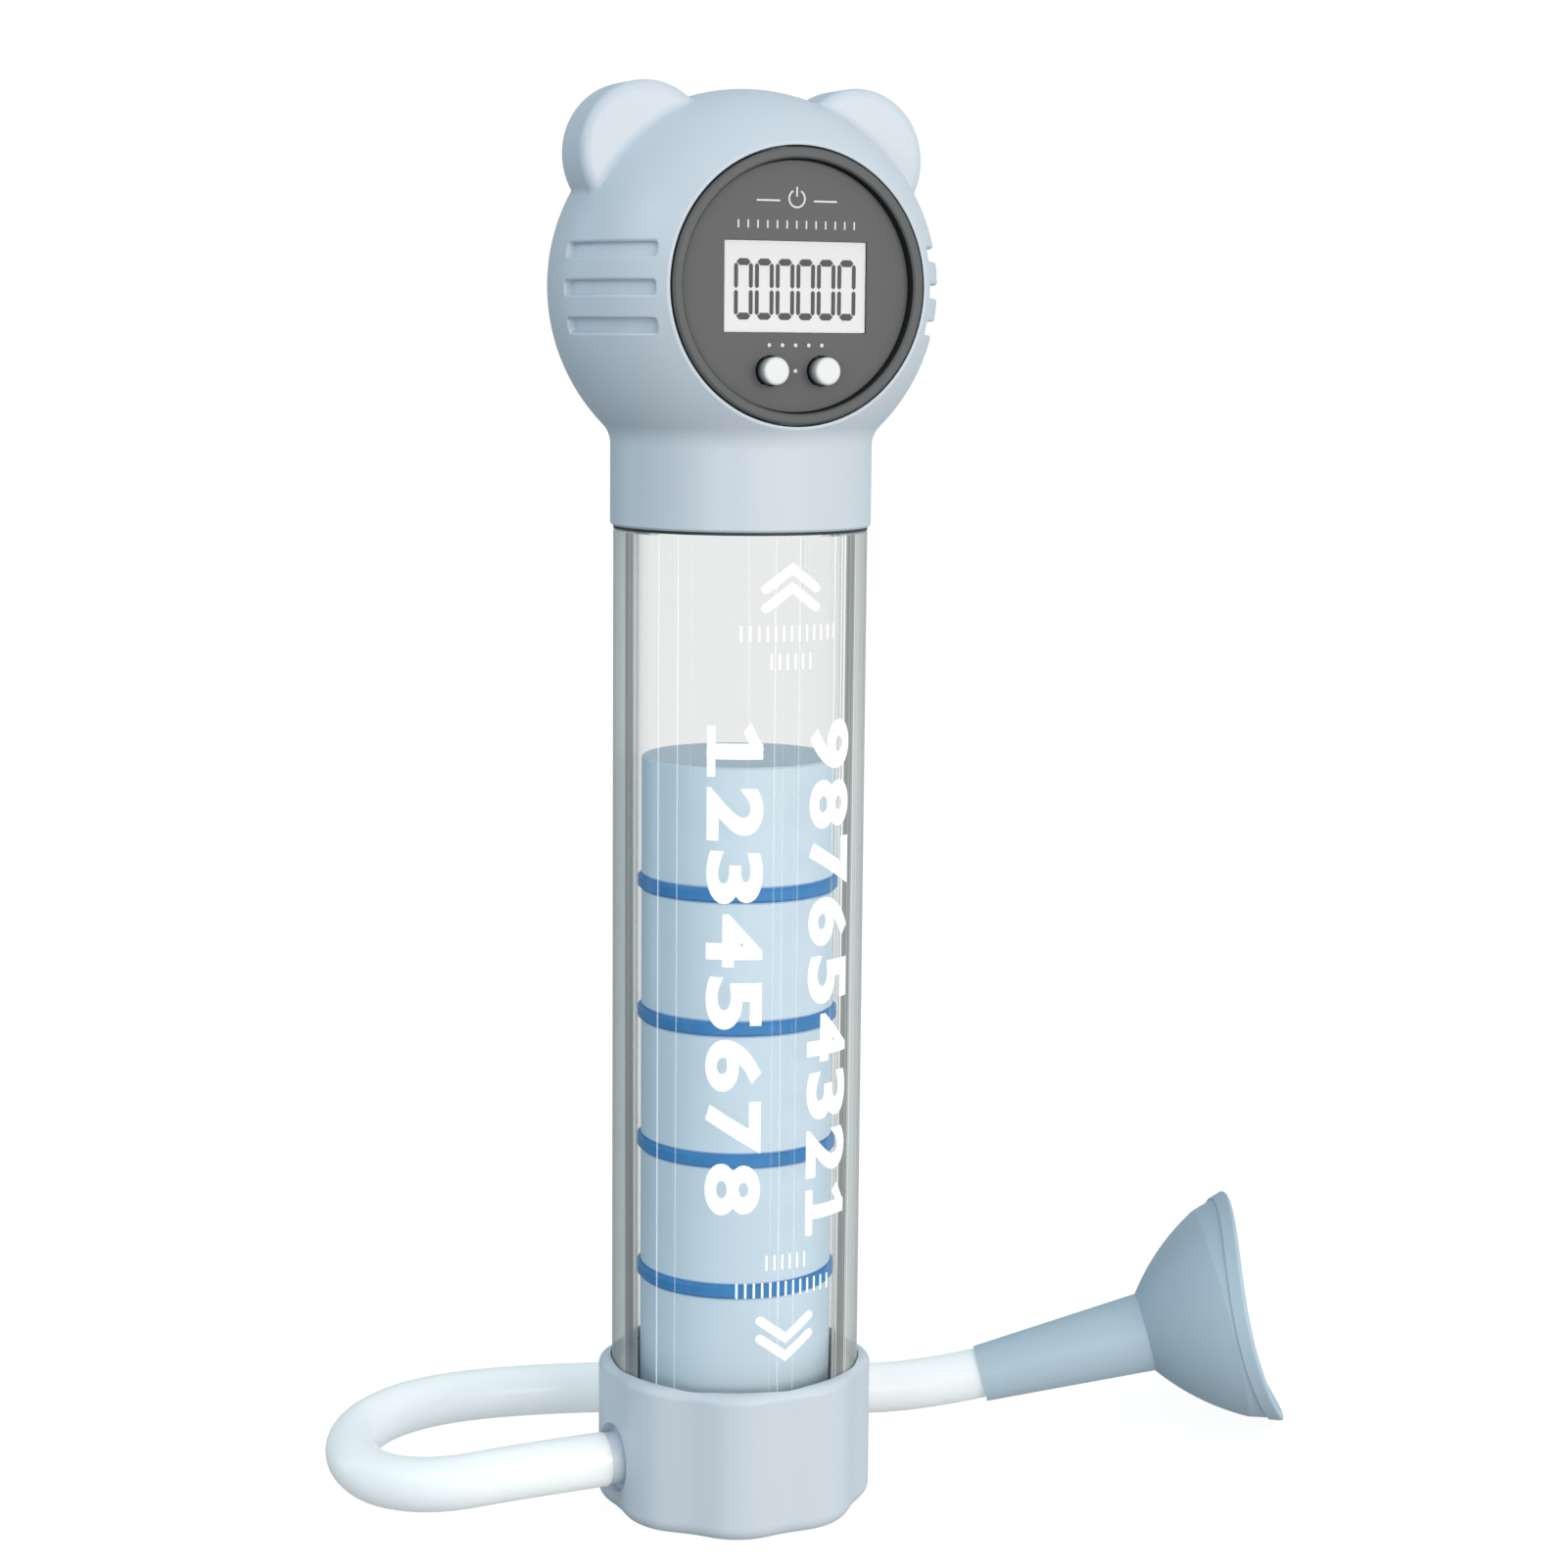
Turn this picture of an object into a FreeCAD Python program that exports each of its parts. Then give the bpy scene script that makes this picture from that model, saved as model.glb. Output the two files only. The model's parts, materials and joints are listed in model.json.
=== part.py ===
import FreeCAD, Part
import math
import os

# A breathing trainer: a clear tube with a stack of weights that the breath lifts, a lobed
# base with the air inlet, a round head with two ears and a stroke counter, and a mouth cup
# on a soft hose. Millimetres, +Z up, origin at the centre of the base's underside,
# counter facing -Y, air inlet pointing to -X.

V = FreeCAD.Vector
X = V(1, 0, 0)
Y = V(0, 1, 0)
Z = V(0, 0, 1)
ORIGIN = V(0, 0, 0)

# Clear tube
bore_d = 39.0
tube_wall = 4.5
tube_length = 163.0
spigot_wall = 3.0
spigot_top = 12.4
tube_chamfer = 0.4

# Base cup and what it holds, from the floor up
base_floor = 3.0
chamber_step = 1.0
seat_z = 15.5
seat_t = 2.2
seat_ledge = 2.4
seat_ring_h = 2.6
seat_ring_inset = 1.5
seat_ring_wall = 4.0
pad_t = 2.5
port_d = 4.0
port_circle_d = 15.0
port_count = 6
seal_t = 1.75
rim_above_seal = 1.6
base_wall = 1.9
lobe_count = 8
lobe_height = 0.65
lobe_fullness = 2.6
lobe_crest_deg = -20.8
base_bottom_fillet = 3.0
base_top_fillet = 2.0

# Bayonet between tube and base
lug_count = 3
lug_deg = 26.0
lug_h = 3.0
lug_reach = 1.5
lug_first_deg = 270.0
twist_deg = 40.0
entry_slack_deg = 1.0
stop_deg = 3.0
stop_slack_deg = 0.5
ledge_t = 4.3

# Air inlet and hose
inlet_z = 11.0
inlet_reach = 1.5
inlet_d = 10.0
inlet_bore_d = 5.0
inlet_flare = 0.6
scoop_width = 1.4
scoop_depth = 1.9
scoop_flare = 1.2
barb_length = 12.0
barb_root_d = 6.2
hose_d = 10.4
hose_wall = 1.7
hose_run = 18.1
hose_route = [
    (-59.1, 7.5, 7.4),
    (-67.3, 20.7, 5.4),
    (-68.1, 36.1, 5.4),
    (-61.3, 50.1, 5.4),
    (-48.6, 59.0, 5.4),
    (-33.2, 60.6, 5.4),
    (-11.7, 56.0, 5.4),
    (11.5, 46.6, 5.4),
    (33.8, 35.3, 5.4),
    (57.3, 26.7, 5.8),
]
arc_share = 0.45

# Mouth cup
stem_length = 36.0
stem_d = 11.8
stem_top_d = 16.5
stem_grip = 12.0
stem_throat_d = 7.2
bell_depth = 24.0
bell_mid_depth = 8.9
bell_mid_d = 34.6
bell_shoulder_depth = 16.5
bell_shoulder_d = 44.4
rim_d = 49.2
cup_wall = 1.5
cup_lean = 0.7
rim_dip = 4.6
rim_band = 3.0
band_height = 0.5
rim_rounding = 0.5
cup_turn_deg = -23.5
cup_tilt_deg = 15.0
cup_lift = 0.1

# Piston: weights with rings between them
weight_count = 5
weight_h = 22.8
weight_gap = 1.0
weight_chamfer = 0.4
ring_t = 2.6
ring_width = 3.75
ring_chamfer = 0.5
core_step = 1.6
core_length = 15.8
recess_depth = 3.0
spigot_slack = 0.2
magnet_d = 8.0
magnet_t = 3.0

# Stop at the top of the tube
stop_t = 1.6
bumper_t = 2.2
bumper_d = 20.0
bumper_lip = 3.0
bumper_dish = 0.8
bumper_stem_d = 5.0
bumper_knob_d = 6.6
bumper_knob_h = 1.2
vent_port_d = 5.0
vent_inset = 5.0
reed_d = 2.6
reed_length = 12.0
reed_offset = 6.0
lead_d = 0.6
lead_length = 2.0
wire_d = 1.2
wire_split = 1.1
wire_spread = 5.0
wire_rise = 7.0
wire_swing = 2.5
wire_inset = 1.0

# Head
gasket_t = 0.6
neck_lip = 0.6
neck_to_ball = 44.1
ball_d = 72.7
shell_wall = 2.4
neck_fillet = 5.0
neck_edge = 0.4
throat_ledge = 3.5
oring_z = 6.0
oring_h = 2.0
oring_depth = 1.1
ear_d = 26.2
ear_x = 21.2
ear_rise = 23.9
ear_front = 6.7
ear_back = 5.6
ear_fillet = 2.0
ear_root_fillet = 1.5
groove_h = 2.5
groove_depth = 1.3
groove_rises = (6.3, -0.4, -7.1)
groove_from_deg = 48.5
groove_to_deg = 86.0
groove_corner = 0.7
groove_fillet = 0.5
opening_fillet = 0.5

# Counter, as distances in front of the ball's centre
bezel_front = 26.4
bezel_d = 49.2
bezel_ring = 2.0
bezel_flange = 3.3
bezel_chamfer = 0.4
can_d = 46.8
can_depth = 15.4
can_wall = 1.8
face_recess = 2.0
face_t = 2.0
window_w = 28.1
window_h = 16.4
glass_recess = 0.4
glass_lip = 1.3
glass_lip_t = 1.8
strip_w = 27.0
strip_h = 2.4
strip_rise = 7.6
strip_t = 1.6
board_t = 1.6
board_d = 42.8
post_x = 17.8
post_d = 4.4
switch_size = 4.6
switch_h = 1.3
plunger_d = 2.4
plunger_h = 0.3
button_d = 5.0
button_x = 5.07
button_drop = 15.0
button_proud = 3.4
button_flange_d = 6.6
button_flange_t = 1.0
button_travel = 0.5
button_rounding = 0.5
cell_d = 20.0
cell_t = 3.2
clip_w = 6.0
clip_t = 0.4
clip_foot = 3.1
back_t = 1.6
back_wall = 1.4
wire_hole_d = 4.0
wire_drop = 16.5
counter_screw_d = 1.8
counter_screw_head_d = 3.8
counter_screw_head_h = 0.9
counter_screw_length = 10.0

# Rear cover
cover_d = 47.8
cover_rim = 2.4
cover_depth = 3.7
cover_seat_t = 2.0
cover_post_inset = 4.9
cover_post_d = 6.4
cover_screw_d = 2.2
cover_screw_head_d = 4.4
cover_screw_head_h = 1.3
cover_screw_length = 9.0
vent_w = 16.0
vent_h = 1.8

# Clearances
push_fit = 0.05
slide_fit = 0.3
turn_fit = 0.3
flat_gap = 0.05
assembly_gap = 0.1
opening_gap = 0.2
thread_bite = 0.1
screw_slack = 0.2
weld = 0.1

# Heights worked out from the sizes above
seat_top = seat_z + seat_t
seat_ring_top = seat_top + seat_ring_h
piston_z = seat_ring_top + pad_t
tube_end = seat_top + assembly_gap
lug_z = tube_end + turn_fit
ledge_z = lug_z + lug_h + 2 * assembly_gap
ledge_top = ledge_z + ledge_t
shoulder_low = ledge_top + flat_gap + seal_t
base_height = shoulder_low + rim_above_seal
shoulder_high = shoulder_low + tube_length
tube_top = shoulder_high + spigot_top
neck_z = shoulder_high + gasket_t
stop_top = tube_top + stop_t
bumper_z = tube_top - bumper_t
piston_pitch = weight_h + ring_t
piston_top = piston_z + weight_count * piston_pitch - ring_t
piston_travel = bumper_z - piston_top - flat_gap
ball_z = neck_z + neck_to_ball

# Widths worked out from the bore, so that all that lies in or round the tube keeps its fit
bore_r = bore_d / 2
tube_d = bore_d + 2 * tube_wall
tube_r = tube_d / 2
spigot_r = bore_r + spigot_wall
lug_r = spigot_r + lug_reach
chamber_d = bore_d + 2 * chamber_step
seat_d = chamber_d + 2 * seat_ledge
lobe_mean_r = tube_r + base_wall
inlet_tip_x = lobe_mean_r + inlet_reach
weight_d = bore_d - 2 * weight_gap
ring_d = bore_d - 2 * slide_fit
weight_spigot_d = ring_d - 2 * (ring_width + push_fit)
weight_spigot_h = ring_t + recess_depth - spigot_slack
recess_d = weight_spigot_d + 2 * spigot_slack
core_d = recess_d - 2 * core_step
seat_ring_d = weight_d - 2 * seat_ring_inset
vent_circle_d = bore_d - 2 * vent_inset
neck_d = tube_d + 2 * neck_lip
throat_d = 2 * (spigot_r - throat_ledge)
ball_r = ball_d / 2
inner_ball_r = ball_r - shell_wall
opening_d = bezel_d + 2 * opening_gap
cover_post_x = cover_d / 2 - cover_post_inset

# Distances in front of the ball's centre, worked out from the sizes above
face_front = bezel_front - face_recess
face_back = face_front - face_t
glass_front = face_front - glass_recess
glass_back = face_back - glass_lip_t
board_front = glass_back - strip_t
board_back = board_front - board_t
can_back = bezel_front - can_depth
plunger_top = board_front + switch_h + plunger_h
button_back = plunger_top + button_travel + flat_gap
bezel_inner_r = bezel_d / 2 - bezel_ring
can_inner_r = can_d / 2 - can_wall


def write(name, shape):
    """Write one sub-part."""
    shape.exportStep("parts/" + name + ".step")


def cylinder(d, low, high, x=0.0, y=0.0):
    """Upright round bar between two heights."""
    return Part.makeCylinder(d / 2, high - low, V(x, y, low), Z)


def tube(d, hole_d, low, high, x=0.0, y=0.0):
    """Upright ring between two heights."""
    return cylinder(d, low, high, x, y).cut(cylinder(hole_d, low - 1, high + 1, x, y))


def block(width, depth, low, high, x=0.0, y=0.0):
    """Upright block, centred at x and y."""
    return Part.makeBox(width, depth, high - low, V(x - width / 2, y - depth / 2, low))


def join(shapes):
    """Fuse shapes into one solid and clean its seams."""
    return shapes[0].fuse(shapes[1:]).removeSplitter()


def outline(start, *steps):
    """Closed wire in the plane of X and Z: a step is a corner, or an arc's middle and end."""
    edges = []
    here = V(start[0], 0, start[1])
    for step in steps:
        if isinstance(step[0], tuple):
            middle, end = step
            there = V(end[0], 0, end[1])
            edges.append(Part.Arc(here, V(middle[0], 0, middle[1]), there).toShape())
        else:
            there = V(step[0], 0, step[1])
            edges.append(Part.LineSegment(here, there).toShape())
        here = there
    edges.append(Part.LineSegment(here, V(start[0], 0, start[1])).toShape())
    return Part.Wire(edges)


def turned(wire, angle=360):
    """Solid of revolution about Z."""
    return Part.Face(wire).revolve(ORIGIN, Z, angle)


def on_circle(centre, radius, degrees):
    """Point on a circle in an outline."""
    angle = math.radians(degrees)
    return (centre[0] + radius * math.cos(angle), centre[1] + radius * math.sin(angle))


def sector(inner_r, outer_r, low, high, centre_deg, width_deg):
    """Part of a ring, centred on an angle from +X."""
    wire = outline((inner_r, low), (outer_r, low), (outer_r, high), (inner_r, high))
    piece = turned(wire, width_deg)
    piece.rotate(ORIGIN, Z, centre_deg - width_deg / 2)
    return piece


def around(shape, count, step_deg=None):
    """The shape and its copies, evenly about Z."""
    step = step_deg or 360 / count
    copies = []
    for index in range(count):
        copy = shape.copy()
        copy.rotate(ORIGIN, Z, index * step)
        copies.append(copy)
    return copies


def edges_at(shape, test):
    """Edges whose every end and middle point passes the test."""
    found = []
    for edge in shape.Edges:
        points = [vertex.Point for vertex in edge.Vertexes]
        points.append(edge.valueAt((edge.FirstParameter + edge.LastParameter) / 2))
        if all(test(point) for point in points):
            found.append(edge)
    return found


def to_front(shape):
    """Turn a counter piece from its own frame, facing +Z, to its place in the ball."""
    piece = shape.copy()
    piece.rotate(ORIGIN, X, 90)
    piece.translate(V(0, 0, ball_z))
    return piece


def to_back(shape):
    """Turn a cover piece from its own frame, facing +Z, to the back of the ball."""
    piece = shape.copy()
    piece.rotate(ORIGIN, X, -90)
    piece.translate(V(0, 0, ball_z))
    return piece


def lobed_block():
    """The base's outer form: a round block whose side swells into lobes with narrow valleys."""
    points = []
    steps = lobe_count * 8
    for step in range(steps):
        degrees = step * 360 / steps
        valley = abs(math.sin(math.radians(lobe_count / 2 * (degrees + 90 - lobe_crest_deg))))
        swell = lobe_height * (1 - 2 * valley ** lobe_fullness)
        spot = on_circle((0, 0), lobe_mean_r + swell, degrees)
        points.append(V(spot[0], spot[1], 0))
    curve = Part.BSplineCurve()
    curve.interpolate(Points=points, PeriodicFlag=True)
    form = Part.Face(Part.Wire(curve.toShape())).extrude(V(0, 0, base_height))
    form = form.makeFillet(base_bottom_fillet, edges_at(form, lambda p: p.z < 0.01))
    return form.makeFillet(base_top_fillet, edges_at(form, lambda p: p.z > base_height - 0.01))


def to_inlet(shape):
    """Turn a piece from its own frame, facing +Z, to the air inlet."""
    piece = shape.copy()
    piece.rotate(ORIGIN, Y, -90)
    piece.translate(V(0, 0, inlet_z))
    return piece


def scoop():
    """Tool for the rounded recess round the inlet boss."""
    root = lobe_mean_r - scoop_depth
    rim = inlet_d / 2 + scoop_width
    corner = (rim - scoop_width / 2, root + scoop_width / 2)
    mouth = lobe_mean_r + inlet_reach
    return to_inlet(turned(outline(
        (0, root),
        (corner[0], root),
        (on_circle(corner, scoop_width / 2, -45), (rim, corner[1])),
        (rim + scoop_flare, mouth),
        (0, mouth),
    )))


def inlet():
    """Inlet boss with a flared root and a ridged barb, along -X."""
    root = lobe_mean_r - scoop_depth
    boss_r = inlet_d / 2
    barb_r = barb_root_d / 2
    ridge_r = hose_d / 2 - hose_wall - push_fit
    tip = inlet_tip_x + barb_length
    ridge = barb_length / 3
    wire = outline(
        (0, chamber_d / 2 + 1),
        (boss_r + inlet_flare, chamber_d / 2 + 1),
        (boss_r + inlet_flare, root),
        (on_circle((boss_r + inlet_flare, root + inlet_flare), inlet_flare, 225),
         (boss_r, root + inlet_flare)),
        (boss_r, inlet_tip_x),
        (barb_r, inlet_tip_x),
        (barb_r, tip - 2 * ridge),
        (ridge_r, tip - 2 * ridge),
        (barb_r, tip - ridge),
        (ridge_r, tip - ridge),
        (barb_r, tip),
        (0, tip),
    )
    return to_inlet(turned(wire))


def bayonet_room():
    """What the base leaves free for the lugs: a track under the ledge and its entry gaps."""
    track_r = lug_r + turn_fit
    track = cylinder(2 * track_r, seat_top, ledge_z)
    entry_deg = lug_deg + 2 * entry_slack_deg
    gap = sector(spigot_r, track_r, ledge_z - 1, ledge_top + 1, lug_first_deg + twist_deg, entry_deg)
    for piece in around(gap, lug_count):
        track = track.fuse(piece)
    lock_stop = -lug_deg / 2 - stop_slack_deg - stop_deg / 2
    open_stop = twist_deg + lug_deg / 2 + stop_slack_deg + stop_deg / 2
    for place in (lock_stop, open_stop):
        middle = lug_first_deg + place
        rib = sector(spigot_r + turn_fit, track_r + 1, seat_top, ledge_z, middle, stop_deg)
        for piece in around(rib, lug_count):
            track = track.cut(piece)
    return track


def base_cup():
    """Lobed cup with the inlet, the chamber, the seat's step, the ledge and the tube socket."""
    body = lobed_block().cut(scoop()).fuse(inlet())
    room = cylinder(chamber_d, base_floor, seat_z)
    room = room.fuse(cylinder(seat_d + 2 * assembly_gap, seat_z, seat_top + 2 * assembly_gap))
    room = room.fuse(cylinder(2 * (spigot_r + turn_fit), seat_top, base_height + 1))
    room = room.fuse(bayonet_room())
    room = room.fuse(cylinder(tube_d + 2 * turn_fit, ledge_top, base_height + 1))
    body = body.cut(room)
    start = V(-(inlet_tip_x + barb_length + 1), 0, inlet_z)
    length = inlet_tip_x + barb_length + 1 - chamber_d / 2 + 2
    return body.cut(Part.makeCylinder(inlet_bore_d / 2, length, start, X)).removeSplitter()


def air_seat():
    """Perforated disc with a raised ring that the piston lands on."""
    disc = cylinder(seat_d, seat_z, seat_top)
    ring = tube(seat_ring_d, seat_ring_d - 2 * seat_ring_wall, seat_z, seat_ring_top)
    seat = join([disc, ring])
    port = cylinder(port_d, seat_z - 1, seat_top + 1, port_circle_d / 2)
    for hole in around(port, port_count):
        seat = seat.cut(hole)
    return seat.cut(cylinder(port_d, seat_z - 1, seat_top + 1))


def landing_pad():
    """Soft ring on the seat."""
    return tube(seat_ring_d, seat_ring_d - 2 * seat_ring_wall, seat_ring_top, piston_z)


def clear_tube():
    """Thick clear tube, turned down at both ends, with the bayonet lugs at the bottom."""
    wire = outline(
        (bore_r, tube_end),
        (spigot_r - tube_chamfer, tube_end),
        (spigot_r, tube_end + tube_chamfer),
        (spigot_r, shoulder_low),
        (tube_r - tube_chamfer, shoulder_low),
        (tube_r, shoulder_low + tube_chamfer),
        (tube_r, shoulder_high - tube_chamfer),
        (tube_r - tube_chamfer, shoulder_high),
        (spigot_r, shoulder_high),
        (spigot_r, tube_top),
        (bore_r, tube_top),
    )
    lug = sector(spigot_r - 1, lug_r, lug_z, lug_z + lug_h, lug_first_deg, lug_deg)
    return join([turned(wire)] + around(lug, lug_count))


def base_seal():
    """Seal ring under the tube's lower shoulder."""
    return tube(2 * lug_r, 2 * spigot_r, ledge_top + flat_gap, shoulder_low)


def weight(top):
    """One weight's sleeve, from height zero; the top one has a magnet's pocket, not a spigot."""
    r = weight_d / 2
    roof = recess_depth + core_length
    spigot_top_z = weight_h + weight_spigot_h
    if top:
        crown = [(magnet_d / 2, weight_h), (magnet_d / 2, weight_h - magnet_t), (0, weight_h - magnet_t)]
    else:
        crown = [(weight_spigot_d / 2, weight_h), (weight_spigot_d / 2, spigot_top_z), (0, spigot_top_z)]
    return turned(outline(
        (recess_d / 2, 0),
        (r - weight_chamfer, 0),
        (r, weight_chamfer),
        (r, weight_h - weight_chamfer),
        (r - weight_chamfer, weight_h),
        *crown,
        (0, roof),
        (core_d / 2, roof),
        (core_d / 2, recess_depth),
        (recess_d / 2, recess_depth),
    ))


def seal_ring():
    """Coloured ring that seals between two weights and the tube, from height zero."""
    inner = weight_spigot_d / 2 + push_fit
    outer = ring_d / 2
    return turned(outline(
        (inner, 0),
        (outer - ring_chamfer, 0),
        (outer, ring_chamfer),
        (outer, ring_t - ring_chamfer),
        (outer - ring_chamfer, ring_t),
        (inner, ring_t),
    ))


def write_piston():
    """The stack: five weights, their cores, four rings, the magnet and the plug below."""
    for index in range(weight_count):
        lift = V(0, 0, piston_z + index * piston_pitch)
        sleeve = weight(index == weight_count - 1)
        sleeve.translate(lift)
        write("weight_%d" % (index + 1), sleeve)
        core = cylinder(core_d - 2 * push_fit, recess_depth + assembly_gap, recess_depth + core_length)
        core.translate(lift)
        write("core_%d" % (index + 1), core)
    for index in range(weight_count - 1):
        ring = seal_ring()
        ring.translate(V(0, 0, piston_z + weight_h + index * piston_pitch))
        write("seal_ring_%d" % (index + 1), ring)
    write("trip_magnet", cylinder(magnet_d - 2 * push_fit, piston_top - magnet_t, piston_top))
    write("end_plug", cylinder(recess_d - 2 * push_fit, piston_z, piston_z + recess_depth))


def neck_gasket():
    """Thin dark gasket between the tube's upper shoulder and the neck."""
    return tube(tube_d, 2 * (spigot_r + push_fit), shoulder_high, neck_z)


def upper_seal():
    """Seal ring in the neck's groove, round the tube's upper end."""
    low = neck_z + oring_z + push_fit
    high = neck_z + oring_z + oring_h - push_fit
    outer = spigot_r + push_fit + oring_depth
    return tube(2 * outer, 2 * spigot_r, low, high)


def ball_and_neck():
    """Hollow ball that flows into the neck, with the tube's socket, seal groove and throat."""
    neck_r = neck_d / 2
    socket_r = spigot_r + push_fit
    centre = (0, ball_z)
    fillet_x = neck_r + neck_fillet
    fillet_drop = math.sqrt((ball_r + neck_fillet) ** 2 - fillet_x ** 2)
    fillet_centre = (fillet_x, ball_z - fillet_drop)
    join_deg = -math.degrees(math.atan2(fillet_drop, fillet_x))
    throat_r = throat_d / 2
    throat_deg = -math.degrees(math.acos(throat_r / inner_ball_r))
    fillet_mid_deg = (180 + 180 + join_deg) / 2
    inner_mid = on_circle(centre, inner_ball_r, (throat_deg + 90) / 2)
    groove_r = socket_r + oring_depth
    groove_z = neck_z + oring_z
    wire = outline(
        (socket_r, neck_z),
        (neck_r - neck_edge, neck_z),
        (neck_r, neck_z + neck_edge),
        (neck_r, fillet_centre[1]),
        (on_circle(fillet_centre, neck_fillet, fillet_mid_deg), on_circle(centre, ball_r, join_deg)),
        (on_circle(centre, ball_r, (join_deg + 90) / 2), (0, ball_z + ball_r)),
        (0, ball_z + inner_ball_r),
        (inner_mid, on_circle(centre, inner_ball_r, throat_deg)),
        (throat_r, stop_top),
        (socket_r, stop_top),
        (socket_r, groove_z + oring_h),
        (groove_r, groove_z + oring_h),
        (groove_r, groove_z),
        (socket_r, groove_z),
    )
    return turned(wire)


def ear(side):
    """One ear: a thick disc with rounded edges."""
    spot = V(side * ear_x, -ear_front, ball_z + ear_rise)
    disc = Part.makeCylinder(ear_d / 2, ear_front + ear_back, spot, Y)
    return disc.makeFillet(ear_fillet, [edge for edge in disc.Edges if edge.Length > ear_d])


def groove(rise, side):
    """Tool for one side groove: a band with rounded corners, a fixed depth into the ball."""
    z = ball_z + rise
    half = groove_h / 2
    middle = side * (groove_from_deg + groove_to_deg) / 2 - 90
    width = groove_to_deg - groove_from_deg
    band = sector(ball_r / 2, ball_r + 2, z - half, z + half, middle, width)
    corners = [edge for edge in band.Edges if isinstance(edge.Curve, Part.Line) and
               abs(edge.tangentAt(edge.FirstParameter).z) < 0.01]
    band = band.makeFillet(groove_corner, corners)
    return band.cut(Part.makeSphere(ball_r - groove_depth, V(0, 0, ball_z)))


def counter_seat():
    """Ring inside the ball that the counter's flange rests on, in the counter's own frame."""
    front = bezel_front - bezel_flange
    outer = math.sqrt(inner_ball_r ** 2 - (front - cover_seat_t) ** 2) + 1
    return tube(2 * outer, can_d + 2 * assembly_gap, front - cover_seat_t, front)


def cover_seat():
    """Ring and two screw posts inside the ball for the rear cover, in the cover's own frame."""
    edge = math.sqrt(ball_r ** 2 - (cover_d / 2) ** 2)
    front = edge - cover_depth
    outer = math.sqrt(inner_ball_r ** 2 - (front - cover_seat_t) ** 2) + 1
    pieces = [tube(2 * outer, cover_d - 2 * cover_rim, front - cover_seat_t, front)]
    for side in (-1, 1):
        pieces.append(cylinder(cover_post_d, front - cover_screw_length, front, side * cover_post_x))
    seat = join(pieces)
    for side in (-1, 1):
        hole = cylinder(cover_screw_d, front - cover_screw_length, front + 1, side * cover_post_x)
        seat = seat.cut(hole)
    return seat


def head_shell():
    """The head: ball, neck and ears in one moulding, open at the front and the back."""
    shell = ball_and_neck()
    hollow = Part.makeSphere(inner_ball_r, V(0, 0, ball_z))
    for side in (-1, 1):
        shell = shell.fuse(ear(side).cut(hollow))
    shell = shell.cut(to_front(cylinder(opening_d, inner_ball_r / 2, 2 * ball_r)))
    shell = shell.cut(to_back(cylinder(cover_d + 2 * assembly_gap, inner_ball_r / 2, 2 * ball_r)))
    shell = shell.fuse(to_front(counter_seat()))
    shell = shell.fuse(to_back(cover_seat()))
    for rise in groove_rises:
        for side in (-1, 1):
            shell = shell.cut(groove(rise, side))
    shell = shell.removeSplitter()
    shell = shell.makeFillet(ear_root_fillet, edges_at(shell, on_ear_root))
    shell = shell.makeFillet(groove_fillet, edges_at(shell, on_groove_edge))
    return shell.makeFillet(opening_fillet, edges_at(shell, on_opening_edge))


def on_ball(point):
    """Whether a point lies on the ball's outside."""
    return abs((point - V(0, 0, ball_z)).Length - ball_r) < 0.01


def on_ear_root(point):
    """Whether a point lies where an ear meets the ball."""
    beside = -ear_front - 0.1 < point.y < ear_back + 0.1
    return on_ball(point) and beside and point.z > ball_z + ear_rise - ear_d / 2


def on_groove_edge(point):
    """Whether a point lies on the edge between a groove and the ball."""
    reach = max(groove_rises) + groove_h
    aside = abs(point.x) > ball_r * math.sin(math.radians(groove_from_deg)) - groove_h / 2
    return on_ball(point) and aside and abs(point.z - ball_z) < reach and point.y < groove_h


def on_opening_edge(point):
    """Whether a point lies on the outer edge of the counter's opening."""
    reach = math.hypot(point.x, point.z - ball_z)
    return on_ball(point) and abs(reach - opening_d / 2) < 0.01 and point.y < 0


def cover_piece():
    """The rear cover in its own frame: a lens of the ball's shell with a rim, vents and posts."""
    edge = math.sqrt(ball_r ** 2 - (cover_d / 2) ** 2)
    front = edge - cover_depth
    lens = Part.makeSphere(ball_r).cut(Part.makeSphere(inner_ball_r))
    lens = lens.common(cylinder(cover_d, 1, ball_r + 1))
    rim = tube(cover_d, cover_d - 2 * cover_rim, front, edge)
    pieces = [lens, rim]
    for side in (-1, 1):
        pieces.append(cylinder(cover_post_d, front, ball_r, side * cover_post_x))
    solid = join(pieces).common(Part.makeSphere(ball_r))
    for rise in groove_rises:
        slot = block(vent_w, vent_h, 1, ball_r + 1, 0, -rise)
        solid = solid.cut(slot)
    head_z = cover_screw_seat()
    head_room_d = cover_screw_head_d + 2 * slide_fit
    hole_d = cover_screw_d + 2 * screw_slack
    for side in (-1, 1):
        solid = solid.cut(cylinder(head_room_d, head_z, ball_r + 1, side * cover_post_x))
        solid = solid.cut(cylinder(hole_d, 1, ball_r + 1, side * cover_post_x))
    return solid


def cover_screw_seat():
    """Depth of the cover's screw heads: the outer edge of each head lies below the ball."""
    reach = cover_post_x + cover_screw_head_d / 2 + slide_fit
    return math.sqrt(ball_r ** 2 - reach ** 2) - cover_screw_head_h


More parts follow.
